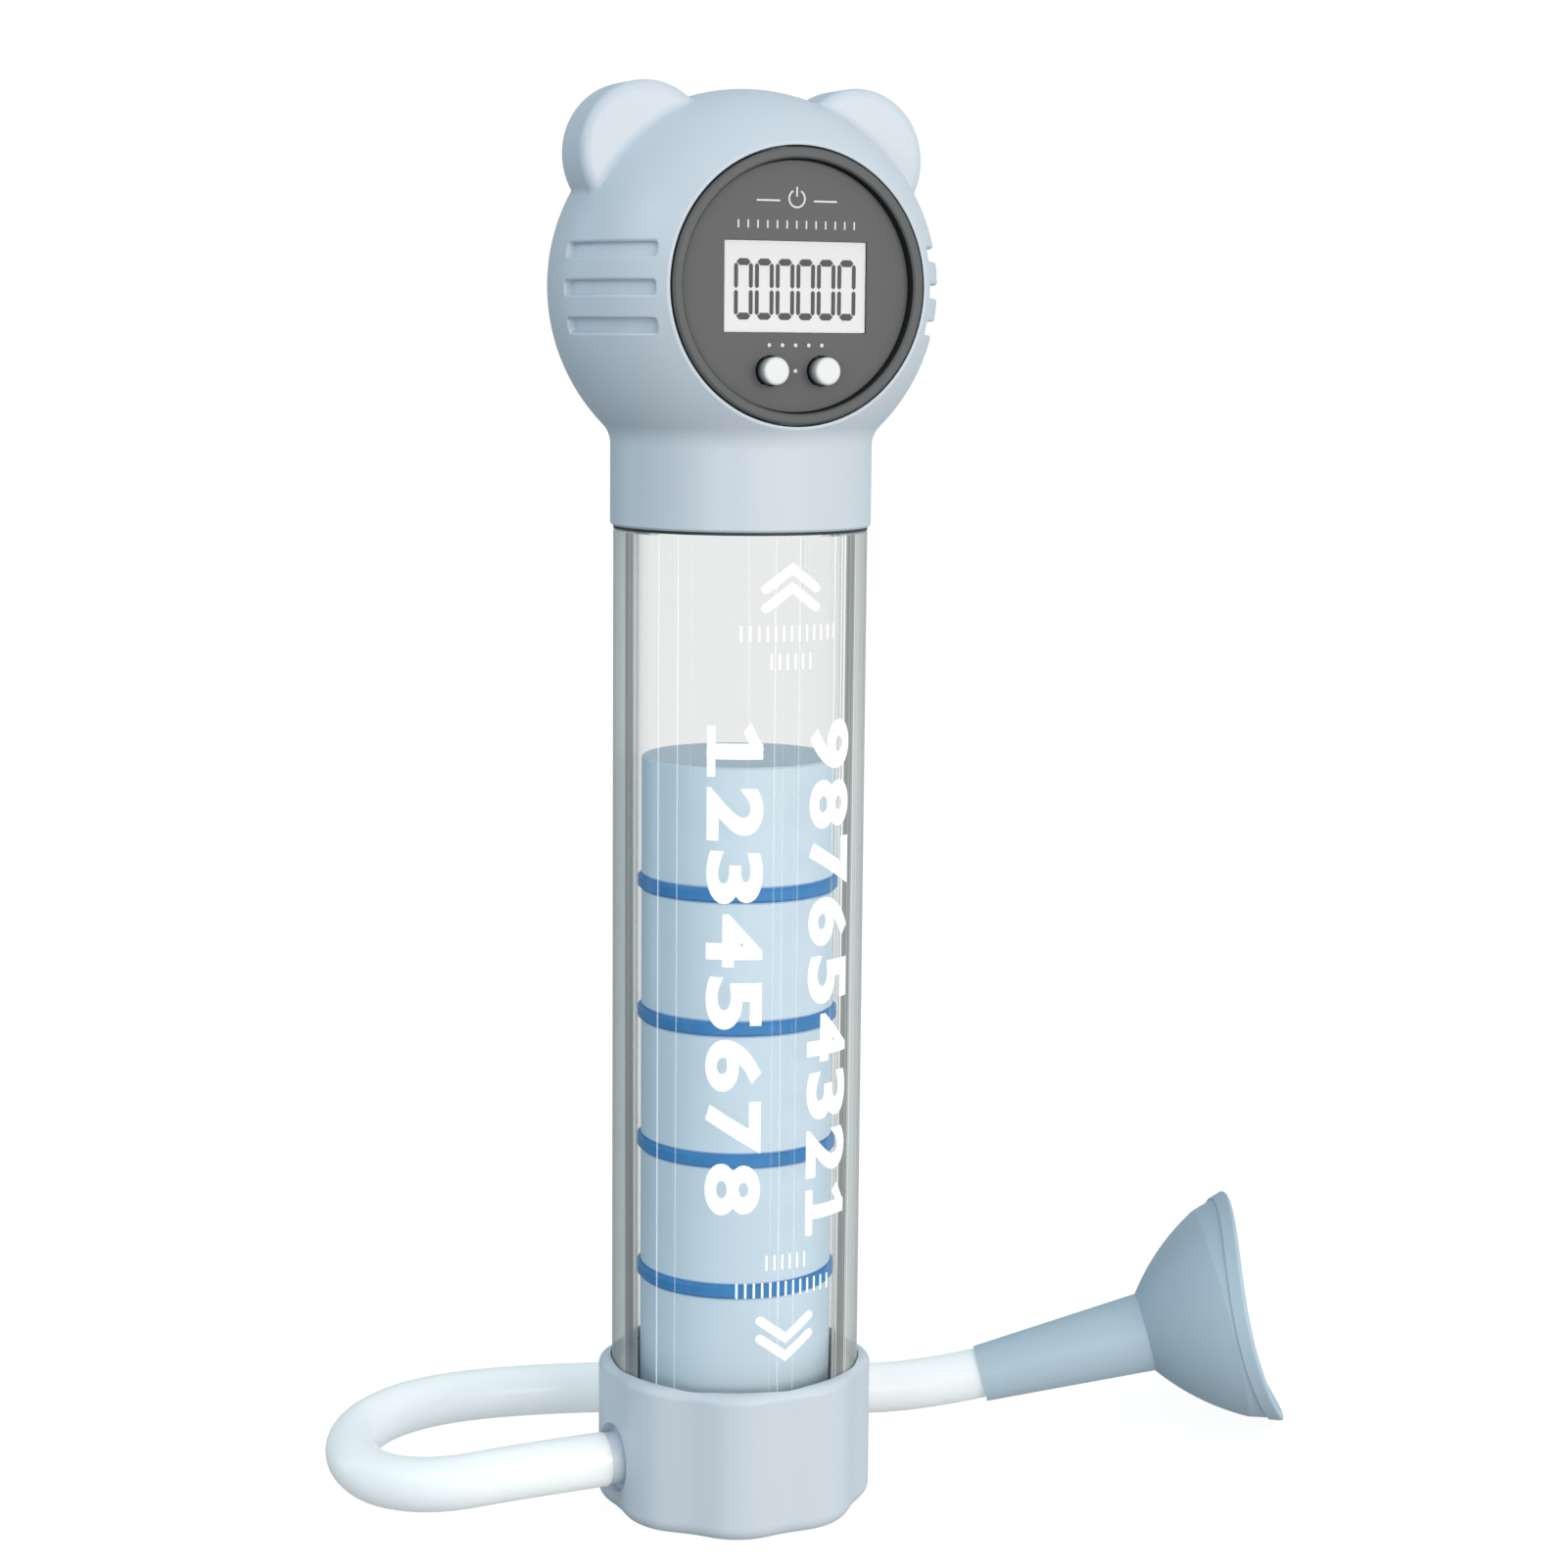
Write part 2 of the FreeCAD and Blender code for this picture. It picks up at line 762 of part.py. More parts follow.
def pan_screw(head_d, head_h, shank_d, length, low, x):
    """Pan screw pointing down from its seat's height, with a cross recess."""
    top = low + head_h
    shank = cylinder(shank_d, low - length, low + weld, x)
    head = cylinder(head_d, low, top, x)
    head = head.makeFillet(head_h / 3, edges_at(head, lambda p: p.z > top - 0.01))
    screw = join([shank, head])
    arm = head_d / 2
    for width, depth in ((arm, arm / 3), (arm / 3, arm)):
        screw = screw.cut(block(width, depth, top - head_h / 2, top + 1, x))
    return screw


def cover_screws():
    """Two screws of the rear cover."""
    seat = cover_screw_seat()
    screws = []
    for side in (-1, 1):
        screws.append(to_back(pan_screw(cover_screw_head_d, cover_screw_head_h,
                                        cover_screw_d - 2 * push_fit, cover_screw_length,
                                        seat, side * cover_post_x)))
    return Part.makeCompound(screws)


def piston_stop():
    """Perforated disc clamped between the tube's end and the neck, with the air's way out."""
    disc = cylinder(2 * spigot_r, tube_top, stop_top)
    port = cylinder(vent_port_d, tube_top - 1, stop_top + 1, vent_circle_d / 2)
    for hole in around(port, port_count):
        disc = disc.cut(hole)
    return disc.cut(cylinder(bumper_stem_d, tube_top - 1, stop_top + 1))


def top_bumper():
    """Soft disc with a raised lip under the stop, held by a knob on its stem."""
    stem_r = bumper_stem_d / 2
    knob_r = bumper_knob_d / 2
    knob_top = stop_top + bumper_knob_h
    return turned(outline(
        (0, bumper_z + bumper_dish),
        (bumper_d / 2 - bumper_lip, bumper_z + bumper_dish),
        (bumper_d / 2 - bumper_lip, bumper_z),
        (bumper_d / 2, bumper_z),
        (bumper_d / 2, tube_top),
        (stem_r, tube_top),
        (stem_r, stop_top),
        (knob_r, stop_top),
        (stem_r, knob_top),
        (0, knob_top),
    ))


def reed_switch():
    """Glass reed with its two leads, lying on the stop."""
    z = stop_top + reed_d / 2
    half = reed_length / 2
    glass = Part.makeCylinder(reed_d / 2, reed_length, V(-half, reed_offset, z), X)
    glass = glass.makeFillet(reed_d / 4, [edge for edge in glass.Edges if edge.Length > reed_d])
    reach = half + lead_length
    lead = Part.makeCylinder(lead_d / 2, 2 * reach, V(-reach, reed_offset, z), X)
    return join([glass, lead])


def bent_path(points):
    """Straight runs joined by tangent arcs; also gives the arcs' radii and the length."""
    spots = [V(*point) for point in points]
    edges = []
    radii = []
    here = spots[0]
    for index in range(1, len(spots) - 1):
        back = spots[index - 1] - spots[index]
        ahead = spots[index + 1] - spots[index]
        shorter = min(back.Length, ahead.Length)
        half_turn = (math.pi - back.getAngle(ahead)) / 2
        cut_back = arc_share * shorter
        radii.append(cut_back / math.tan(half_turn))
        back.normalize()
        ahead.normalize()
        start = spots[index] + back * cut_back
        end = spots[index] + ahead * cut_back
        inward = back + ahead
        inward.normalize()
        radius = radii[-1]
        middle = spots[index] + inward * (radius / math.cos(half_turn) - radius)
        edges.append(Part.LineSegment(here, start).toShape())
        edges.append(Part.Arc(start, middle, end).toShape())
        here = end
    edges.append(Part.LineSegment(here, spots[-1]).toShape())
    wire = Part.Wire(edges)
    return wire, radii, wire.Length


def pipe(points, d):
    """Round bar along a bent path."""
    wire, _, _ = bent_path(points)
    start = V(*points[0])
    along = V(*points[1]) - start
    ring = Part.Wire(Part.makeCircle(d / 2, start, along))
    return wire.makePipeShell([ring], True, False)


def cup_axis():
    """The mouth cup's direction, from the hose to the rim."""
    turn = math.radians(cup_turn_deg)
    tilt = math.radians(cup_tilt_deg)
    return V(math.cos(turn) * math.cos(tilt), math.sin(turn) * math.cos(tilt), math.sin(tilt))


def cup_height():
    """Height of the stem's end when the rim's lower edge stands on the floor."""
    tilt = math.radians(cup_tilt_deg)
    edge = rim_rounding / 2
    rim = rim_d / 2 + band_height - edge
    return rim * math.cos(tilt) - (stem_length + bell_depth) * math.sin(tilt) + cup_lift


def cup_start():
    """Centre of the stem's open end, on the line of the route's last run."""
    last = V(*hose_route[-1])
    axis = cup_axis()
    return last + axis * ((cup_height() - last.z) / axis.z)


def hose_points():
    """The chosen route, ended inside the mouth cup's stem."""
    first = (-inlet_tip_x, 0, inlet_z)
    second = (-inlet_tip_x - hose_run, 0, inlet_z)
    end = cup_start() + cup_axis() * stem_grip
    return [first, second] + hose_route + [(end.x, end.y, end.z)]


def air_hose():
    """Soft hose from the inlet to the mouth cup."""
    points = hose_points()
    wire, radii, length = bent_path(points)
    print("hose length %.1f, arc radii" % length, [round(radius, 1) for radius in radii])
    hose = pipe(points, hose_d).cut(pipe(points, hose_d - 2 * hose_wall))
    section = math.pi * (hose_d - hose_wall) * hose_wall
    print("hose volume %.1f, section times length %.1f" % (hose.Volume, section * length))
    return hose


def mouth_cup():
    """Cup with a tapered stem, a flared bell and a rim curved to the face."""
    bell = stem_length + bell_depth
    over = bell + cup_wall / 3
    mid = (bell_mid_d / 2, stem_length + bell_mid_depth)
    shoulder = (bell_shoulder_d / 2, stem_length + bell_shoulder_depth)
    inset = cup_lean * cup_wall
    grip_r = hose_d / 2 + push_fit
    solid = turned(outline(
        (grip_r, 0),
        (stem_d / 2, 0),
        (stem_top_d / 2, stem_length),
        (mid, shoulder),
        (rim_d / 2, over),
        (rim_d / 2 - cup_wall, over),
        (shoulder[0] - inset, shoulder[1] + inset),
        ((mid[0] - inset, mid[1] + inset),
         (stem_top_d / 2 - cup_wall, stem_length + cup_wall)),
        (stem_throat_d / 2, stem_grip),
        (grip_r, stem_grip),
    ))
    trim = saddle(bell)
    band_low = shoulder[1] - band_height
    band = turned(outline(
        (shoulder[0] - cup_wall / 2, band_low),
        (shoulder[0] + band_height / 2, band_low),
        (rim_d / 2 + band_height, over),
        (rim_d / 2 - cup_wall / 2, over),
    ))
    band = band.common(trim).cut(saddle(bell - rim_band))
    cup = join([solid.common(trim), band])
    rim_edges = edges_at(cup, lambda p: saddle_gap(p, bell) < 0.01)
    cup = cup.makeFillet(rim_rounding, rim_edges)
    axis = cup_axis()
    across = V(-axis.y, axis.x, 0)
    across.normalize()
    up = axis.cross(across)
    start = cup_start()
    matrix = FreeCAD.Matrix(across.x, up.x, axis.x, start.x,
                            across.y, up.y, axis.y, start.y,
                            across.z, up.z, axis.z, start.z,
                            0, 0, 0, 1)
    cup.Placement = FreeCAD.Placement(matrix)
    return cup


def saddle_radius():
    """Radius of the curve that dips the rim's two sides back."""
    half = rim_d / 2
    return (half ** 2 + rim_dip ** 2) / (2 * rim_dip)


def saddle(top):
    """Round bar across the cup that trims its rim."""
    radius = saddle_radius()
    return Part.makeCylinder(radius, 4 * radius, V(0, -2 * radius, top - radius), Y)


def saddle_gap(point, top):
    """Distance of a point from the saddle's surface."""
    radius = saddle_radius()
    return abs(math.hypot(point.x, point.z - top + radius) - radius)


def bezel():
    """The counter's dark ring with its flange and the can behind it."""
    front = bezel_front
    outer = bezel_d / 2
    flange = front - bezel_flange
    return to_front(turned(outline(
        (can_inner_r, can_back),
        (can_d / 2, can_back),
        (can_d / 2, flange),
        (outer, flange),
        (outer, front - bezel_chamfer),
        (outer - bezel_chamfer, front),
        (bezel_inner_r + bezel_chamfer, front),
        (bezel_inner_r, front - bezel_chamfer),
        (bezel_inner_r, face_back),
        (can_inner_r, face_back),
    )))


def face_panel():
    """Dark face with the display window, two button holes and two screw posts behind."""
    panel = cylinder(2 * (bezel_inner_r - assembly_gap), face_back, face_front)
    panel = panel.cut(block(window_w, window_h, face_back - 1, face_front + 1))
    thread_d = counter_screw_d - 2 * thread_bite
    hole_d = button_d + 2 * slide_fit
    for side in (-1, 1):
        post = cylinder(post_d, board_front, face_back + weld, side * post_x)
        panel = panel.fuse(post)
    for side in (-1, 1):
        panel = panel.cut(cylinder(thread_d, board_front - 1, face_back, side * post_x))
        panel = panel.cut(cylinder(hole_d, face_back - 1, face_front + 1, side * button_x, -button_drop))
    return to_front(panel.removeSplitter())


def lcd_glass():
    """Display glass: its raised front fills the window, its lip lies behind the panel."""
    front_w = window_w - 2 * assembly_gap
    front_h = window_h - 2 * assembly_gap
    front = block(front_w, front_h, face_back - weld, glass_front)
    lip = block(window_w + 2 * glass_lip, window_h + 2 * glass_lip, glass_back, face_back)
    return to_front(join([front, lip]))


def zebra_strips():
    """Two soft strips that join the glass to the board."""
    strips = [block(strip_w, strip_h, board_front, glass_back, 0, side * strip_rise) for side in (-1, 1)]
    return to_front(Part.makeCompound(strips))


def counter_board():
    """Round circuit board with holes for the two screws."""
    board = cylinder(board_d, board_back, board_front)
    hole_d = counter_screw_d + 2 * screw_slack
    for side in (-1, 1):
        board = board.cut(cylinder(hole_d, board_back - 1, board_front + 1, side * post_x))
    return to_front(board)


def tact_switches():
    """Two small switches behind the buttons."""
    switches = []
    for side in (-1, 1):
        x = side * button_x
        body = block(switch_size, switch_size, board_front, board_front + switch_h, x, -button_drop)
        cap = cylinder(plunger_d, board_front + switch_h - weld, plunger_top, x, -button_drop)
        switches.append(join([body, cap]))
    return to_front(Part.makeCompound(switches))


def button(side):
    """One push button: rounded cap, flange behind the panel and a short stem."""
    x = side * button_x
    front = face_front + button_proud
    flange_low = face_back - button_flange_t
    cap = cylinder(button_d, flange_low, front, x, -button_drop)
    cap = cap.makeFillet(button_rounding, edges_at(cap, lambda p: p.z > front - 0.01))
    flange = cylinder(button_flange_d, flange_low, face_back, x, -button_drop)
    stem = cylinder(plunger_d, button_back, flange_low + weld, x, -button_drop)
    return to_front(join([cap, flange, stem]))


def battery_cell():
    """Coin cell against the board's back."""
    cell = cylinder(cell_d, board_back - cell_t, board_back)
    low = board_back - cell_t
    return to_front(cell.makeFillet(cell_t / 8, edges_at(cell, lambda p: p.z < low + 0.01)))


def battery_clip():
    """Sprung strap over the cell, with a foot at each end on the board."""
    inner = cell_d / 2 + push_fit + clip_t
    low = board_back - cell_t - clip_t
    bridge = block(2 * (inner + clip_t), clip_w, low, low + clip_t)
    pieces = [bridge]
    for side in (-1, 1):
        leg = block(clip_t, clip_w, low, board_back, side * (inner + clip_t / 2))
        foot_x = side * (inner + clip_foot / 2)
        foot = block(clip_foot, clip_w, board_back - clip_t, board_back, foot_x)
        pieces += [leg, foot]
    return to_front(join(pieces))


def counter_back():
    """Cup that closes the can, with two screw sleeves and a hole for the wires."""
    outer_d = 2 * (can_inner_r - assembly_gap)
    low = can_back
    back = cylinder(outer_d, low, low + back_t)
    wall = tube(outer_d, outer_d - 2 * back_wall, low, board_back)
    pieces = [back, wall]
    for side in (-1, 1):
        pieces.append(cylinder(post_d, low, board_back, side * post_x))
    solid = join(pieces)
    hole_d = counter_screw_d + 2 * screw_slack
    for side in (-1, 1):
        solid = solid.cut(cylinder(hole_d, low - 1, board_back + 1, side * post_x))
    return to_front(solid.cut(cylinder(wire_hole_d, low - 1, board_back - 1, 0, -wire_drop)))


def counter_screws():
    """Two screws that hold the counter's back, board and face together."""
    screws = []
    shank_d = counter_screw_d - 2 * thread_bite
    for side in (-1, 1):
        screw = pan_screw(counter_screw_head_d, counter_screw_head_h, shank_d,
                          counter_screw_length, 0, side * post_x)
        screw.rotate(V(side * post_x, 0, 0), X, 180)
        screw.translate(V(0, 0, can_back))
        screws.append(to_front(screw))
    return Part.makeCompound(screws)


def sensor_wires():
    """Two wires from the counter's board to the reed switch."""
    reed_z = stop_top + reed_d / 2
    reed_end = reed_length / 2 + lead_length
    wires = []
    for side in (-1, 1):
        points = [
            (side * wire_split, -board_back, ball_z - wire_drop),
            (side * wire_split, -can_back / 2, ball_z - wire_drop),
            (side * wire_spread, 0.0, reed_z + wire_rise),
            (side * (reed_end + wire_swing), reed_offset - wire_inset, reed_z + wire_swing),
            (side * reed_end, reed_offset, reed_z + lead_d / 2),
        ]
        wires.append(pipe(points, wire_d))
    return Part.makeCompound(wires)


def main():
    """Build every sub-part and write it."""
    os.makedirs("parts", exist_ok=True)
    write("base_cup", base_cup())
    write("air_seat", air_seat())
    write("landing_pad", landing_pad())
    write("air_hose", air_hose())
    write("mouth_cup", mouth_cup())
    write("clear_tube", clear_tube())
    write("base_seal", base_seal())
    write("neck_gasket", neck_gasket())
    write("upper_seal", upper_seal())
    write("head_shell", head_shell())
    write("rear_cover", to_back(cover_piece()))
    write("cover_screws", cover_screws())
    write("piston_stop", piston_stop())
    write("top_bumper", top_bumper())
    write("reed_switch", reed_switch())
    write("sensor_wires", sensor_wires())
    write("bezel", bezel())
    write("face_panel", face_panel())
    write("lcd_glass", lcd_glass())
    write("zebra_strips", zebra_strips())
    write("counter_board", counter_board())
    write("tact_switches", tact_switches())
    write("battery_cell", battery_cell())
    write("battery_clip", battery_clip())
    write("counter_back", counter_back())
    write("counter_screws", counter_screws())
    write("button_left", button(-1))
    write("button_right", button(1))
    write_piston()
    print("base height %.2f, shoulders %.2f and %.2f, ball centre %.2f" %
          (base_height, shoulder_low, shoulder_high, ball_z))
    print("piston from %.2f to %.2f, travel %.2f" % (piston_z, piston_top, piston_travel))
    print("button travel %.2f, twist %.0f degrees" % (button_travel, twist_deg))


main()
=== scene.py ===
"""The breathing trainer's looks: its hose, prints, display figures, finishes, camera and stage."""
import json
import math

import bpy
from mathutils import Matrix, Vector


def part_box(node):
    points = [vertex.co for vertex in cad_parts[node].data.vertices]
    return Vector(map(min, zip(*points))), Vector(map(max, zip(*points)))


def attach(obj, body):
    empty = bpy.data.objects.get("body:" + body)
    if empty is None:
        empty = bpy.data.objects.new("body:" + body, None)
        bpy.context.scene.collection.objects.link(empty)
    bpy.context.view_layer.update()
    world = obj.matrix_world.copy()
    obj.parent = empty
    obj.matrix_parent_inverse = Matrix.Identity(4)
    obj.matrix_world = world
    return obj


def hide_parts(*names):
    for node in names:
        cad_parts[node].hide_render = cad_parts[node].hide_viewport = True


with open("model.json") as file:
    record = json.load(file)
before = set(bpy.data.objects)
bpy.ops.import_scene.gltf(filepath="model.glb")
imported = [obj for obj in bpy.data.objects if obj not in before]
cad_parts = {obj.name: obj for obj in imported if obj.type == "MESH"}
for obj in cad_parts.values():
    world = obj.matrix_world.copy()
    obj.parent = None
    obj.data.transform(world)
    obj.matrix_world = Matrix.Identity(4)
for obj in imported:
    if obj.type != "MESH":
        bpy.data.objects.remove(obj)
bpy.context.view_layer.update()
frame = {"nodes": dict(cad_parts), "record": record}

bl_info = {
    "name": "Breathing trainer finishes",
    "version": (1, 0, 0),
    "blender": (4, 5, 0),
    "location": "3D View > Sidebar > Trainer",
    "description": "Adds the trainer's hose, prints and display figures, and each piece's finish",
    "category": "Object",
}

MM = 0.001

# Places read from the frame; BUTTON_SCALE is one over the height that the push buttons stand out
TUBE_LOW, TUBE_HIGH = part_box("clear_tube")
TUBE_RADIUS = TUBE_HIGH.x
GLASS_LOW, GLASS_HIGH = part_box("lcd_glass")
GLASS_FRONT = GLASS_LOW.y
DISPLAY_Z = (GLASS_LOW.z + GLASS_HIGH.z) / 2
PANEL_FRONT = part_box("face_panel")[0].y
BUTTON_SCALE = 1 / (PANEL_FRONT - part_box("button_left")[0].y)
BEZEL_LOW, BEZEL_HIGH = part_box("bezel")
OPENING_RADIUS = (BEZEL_HIGH.x - BEZEL_LOW.x) / 2 + 0.2 * MM

# The hose's route, from the air inlet to the mouth cup
HOSE_ROUTE = [
    (-0.0274, 0.0, 0.0110),
    (-0.0455, 0.0, 0.0110),
    (-0.0591, 0.0075, 0.0074),
    (-0.0673, 0.0207, 0.0054),
    (-0.0681, 0.0361, 0.0054),
    (-0.0613, 0.0501, 0.0054),
    (-0.0486, 0.0590, 0.0054),
    (-0.0332, 0.0606, 0.0054),
    (-0.0117, 0.0560, 0.0054),
    (0.0115, 0.0466, 0.0054),
    (0.0338, 0.0353, 0.0054),
    (0.0573, 0.0267, 0.0058),
    (0.077424, 0.017950, 0.011680),
]
HOSE_DIAMETER = 10.4 * MM

# The camera, fitted to the photograph's outlines
CAMERA_TURN = math.radians(23.47)
CAMERA_DISTANCE = 587.17 * MM
CAMERA_HEIGHT = 225.92 * MM
CAMERA_TILT = 0.1426
CAMERA_SWING = 0.0148
CAMERA_ROLL = 0.0093
CAMERA_LENS = 71.26
CAMERA_SENSOR = 36.0

# Fine grain of the moulded pieces: spots to the metre, and depth
GRAIN_SPOTS = 3800
GRAIN_DEPTH = 0.03 * MM

# The tube's wall in its finish: the radii between which the bore gives way to the outside, the
# scale that brings a radius under one, and how fast the streaks change round the tube, along it
# and from the bore to the outside
WALL_START = 21 * MM
WALL_END = 22 * MM
WALL_SCALE = 20
STREAK_TURNS = 9
STREAK_RISE = 0.2
STREAK_WALL = 3

# Prints on the tube: each flat drawing starts WRAP_START radii in front of the tube's axis and is
# laid on a round core of WRAP_SIDES sides
INK_THICKNESS = 0.04 * MM
INK_GAP = 0.02 * MM
WRAP_START = 1.3
WRAP_SIDES = 720
CHEVRON_WIDTH = 11.4 * MM
CHEVRON_RISE = 3.7 * MM
CHEVRON_STROKE = 1.7 * MM
CHEVRON_STEP = 3.5 * MM
CHEVRON_TOP_Z = 185.5 * MM
CHEVRON_BOTTOM_Z = 34.6 * MM
COLUMN_TURN_LEFT = math.radians(-25)
COLUMN_TURN_RIGHT = math.radians(22.2)
COLUMN_TOP_Z = 157.1 * MM
COLUMN_BOTTOM_Z = 62.5 * MM
COLUMN_BOTTOM_RIGHT_Z = 57.4 * MM
COLUMN_WIDTH = 10.4 * MM
STRIP_WIDTH = 0.6 * MM
NUMBER_GAP = 1.9 * MM
TICK_WIDTH = 0.42 * MM
TICK_HEIGHT = 3.0 * MM
TICK_PITCH = 1.55 * MM
TICK_ROW = 5.2 * MM
TICKS_UP_Z = 172.6 * MM
TICKS_DOWN_Z = 54.0 * MM
TICKS_UP_COUNTS = (13, 6)
TICKS_DOWN_COUNTS = (6, 13)

# The number one, in shares of a text line's height: lengths and widths of its three bars
ONE_STEM = (0.72, 0.13)
ONE_FLAG = (0.27, 0.12)
ONE_FLAG_TURN = math.radians(38)
ONE_FLAG_PLACE = (-0.09, 0.24, 0)
ONE_FOOT = (0.42, 0.11)
ONE_FOOT_PLACE = (0, -0.305, 0)

# Marks on the counter's face, measured from its middle
MARK_STROKE = 0.32 * MM
SIGN_RADIUS = 1.7 * MM
SIGN_GAP = math.radians(32)
SIGN_RISE = 15.6 * MM
LINE_LENGTH = 4.6 * MM
LINE_REACH = 5.6 * MM
LINE_RISE = 15.2 * MM
SCALE_COUNT = 13
SCALE_HEIGHT = 1.5 * MM
SCALE_STROKE = 0.3 * MM
SCALE_PITCH = 1.9 * MM
SCALE_RISE = 11.0 * MM
DOT_COUNT = 5
DOT_SIZE = 0.7 * MM
DOT_PITCH = 2.6 * MM
DOT_DROP = 10.4 * MM
BUTTON_DOT_DROP = 15.0 * MM

# Soft lip of the head round the counter, and the scale that brings its radii under one
LIP_WIDTH = 3.6 * MM
LIP_DEPTH = 1.0 * MM
LIP_SCALE = 40

# Painted shade, black, where the counter's ring meets its face: start, full from, full to and end
PAINTED_SHADE_RADII = (22.25 * MM, 22.425 * MM, 22.625 * MM, 22.725 * MM)

# Height over which painted shade darkens the display's pane upwards
PANE_SHADE_REACH = 20 * MM

# The surround as the object sees it: how it brightens to the right, away and up, and its tint
SKY_SLOPE = (0.33, 0.0, 0.21)
SKY_LEVEL = 0.5445
SKY_COLOUR = (0.80, 0.955, 1.0, 1)

# The lights, placed as the camera sees them: right, away and up in metres; powers in watts
LIGHT_AIM = (0, 0, 0.13)
SQUARE = (0.6, 0.6)
TALL = (0.4, 1.0)
WARM = (1.0, 0.85, 0.71)
COOL = (0.74, 0.93, 1.0)
LIGHTS = (
    ("key", (1.176, -1.176, 0.483), SQUARE, 6.8, WARM),
    ("front_right", (0.573, -1.573, 0.425), SQUARE, 6.4, WARM),
    ("front_left", (-0.579, -1.591, 0.278), SQUARE, 5.4, COOL),
    ("left", (-1.262, -0.589, 1.105), SQUARE, 4.5, COOL),
    ("back_left", (-1.25, 0.55, 0.3), TALL, 1.6, COOL),
)

# The floor's side and the light it gives off, so that it looks white under soft light
FLOOR_SIZE = 12
FLOOR_GLOW = 0.92

# Display figures
FIGURE_PITCH = 4.07 * MM
FIGURE_WIDTH = 3.67 * MM
FIGURE_HEIGHT = 10.85 * MM
FIGURE_DROP = 0.5 * MM
FIGURE_BAR = 1.25 * MM
FIGURE_POST = 0.78 * MM
FIGURE_SLIT = 0.16 * MM
FIGURE_OVERLAP = 0.5 * MM
FIGURE_THICKNESS = 0.02 * MM


def linear(red, green, blue):
    """A colour from the numbers of a picture, 0 to 255, as light."""
    parts = []
    for level in (red, green, blue):
        share = level / 255
        parts.append(share / 12.92 if share <= 0.04045 else ((share + 0.055) / 1.055) ** 2.4)
    return (*parts, 1.0)


def tinted(colour, factor):
    """The colour made lighter or darker."""
    return (*(min(1.0, part * factor) for part in tuple(colour)[:3]), 1.0)


class TrainerSettings(bpy.types.PropertyGroup):
    """Sizes and colours of the trainer that a user would change."""

    housing_colour: bpy.props.FloatVectorProperty(
        name="Housing", description="Colour of the head, the base and the rear cover",
        subtype='COLOR', size=4, min=0, max=1, default=linear(205, 210, 221))
    cup_colour: bpy.props.FloatVectorProperty(
        name="Mouth cup", description="Colour of the soft mouth cup",
        subtype='COLOR', size=4, min=0, max=1, default=linear(184, 201, 215))
    weight_colour: bpy.props.FloatVectorProperty(
        name="Weights", description="Colour of the five weights",
        subtype='COLOR', size=4, min=0, max=1, default=linear(224, 240, 255))
    ring_colour: bpy.props.FloatVectorProperty(
        name="Rings", description="Colour of the four rings between the weights",
        subtype='COLOR', size=4, min=0, max=1, default=linear(72, 146, 212))
    panel_colour: bpy.props.FloatVectorProperty(
        name="Counter", description="Colour of the counter's ring and face",
        subtype='COLOR', size=4, min=0, max=1, default=linear(93, 93, 94))
    ink_colour: bpy.props.FloatVectorProperty(
        name="Ink", description="Colour of the prints on the tube",
        subtype='COLOR', size=4, min=0, max=1, default=linear(252, 252, 252))
    hose_diameter: bpy.props.FloatProperty(
        name="Hose diameter", description="Outside diameter of the air hose",
        subtype='DISTANCE', unit='LENGTH', min=0.004, max=0.02, default=HOSE_DIAMETER)
    figure_count: bpy.props.IntProperty(
        name="Figures", description="Number of figures on the display",
        min=1, max=6, default=6)
    left_digits: bpy.props.StringProperty(
        name="Left digits", description="Plain numbers printed down the tube's left side",
        default="12345678")
    right_digits: bpy.props.StringProperty(
        name="Right digits", description="Plain numbers printed down the tube's right side",
        default="987654321")


class Reading:
    """A shader socket that takes part in sums; each sum adds a Math node."""

    def __init__(self, finish, socket):
        self.finish = finish
        self.socket = socket

    def sum_with(self, operation, first, second):
        return self.finish.add("ShaderNodeMath", {"operation": operation}, {0: first, 1: second})

    def __add__(self, other):
        return self.sum_with('ADD', self, other)

    def __sub__(self, other):
        return self.sum_with('SUBTRACT', self, other)

    def __rsub__(self, other):
        return self.sum_with('SUBTRACT', other, self)

    def __mul__(self, other):
        return self.sum_with('MULTIPLY', self, other)

    def __pow__(self, other):
        return self.sum_with('POWER', self, other)

    __radd__ = __add__
    __rmul__ = __mul__


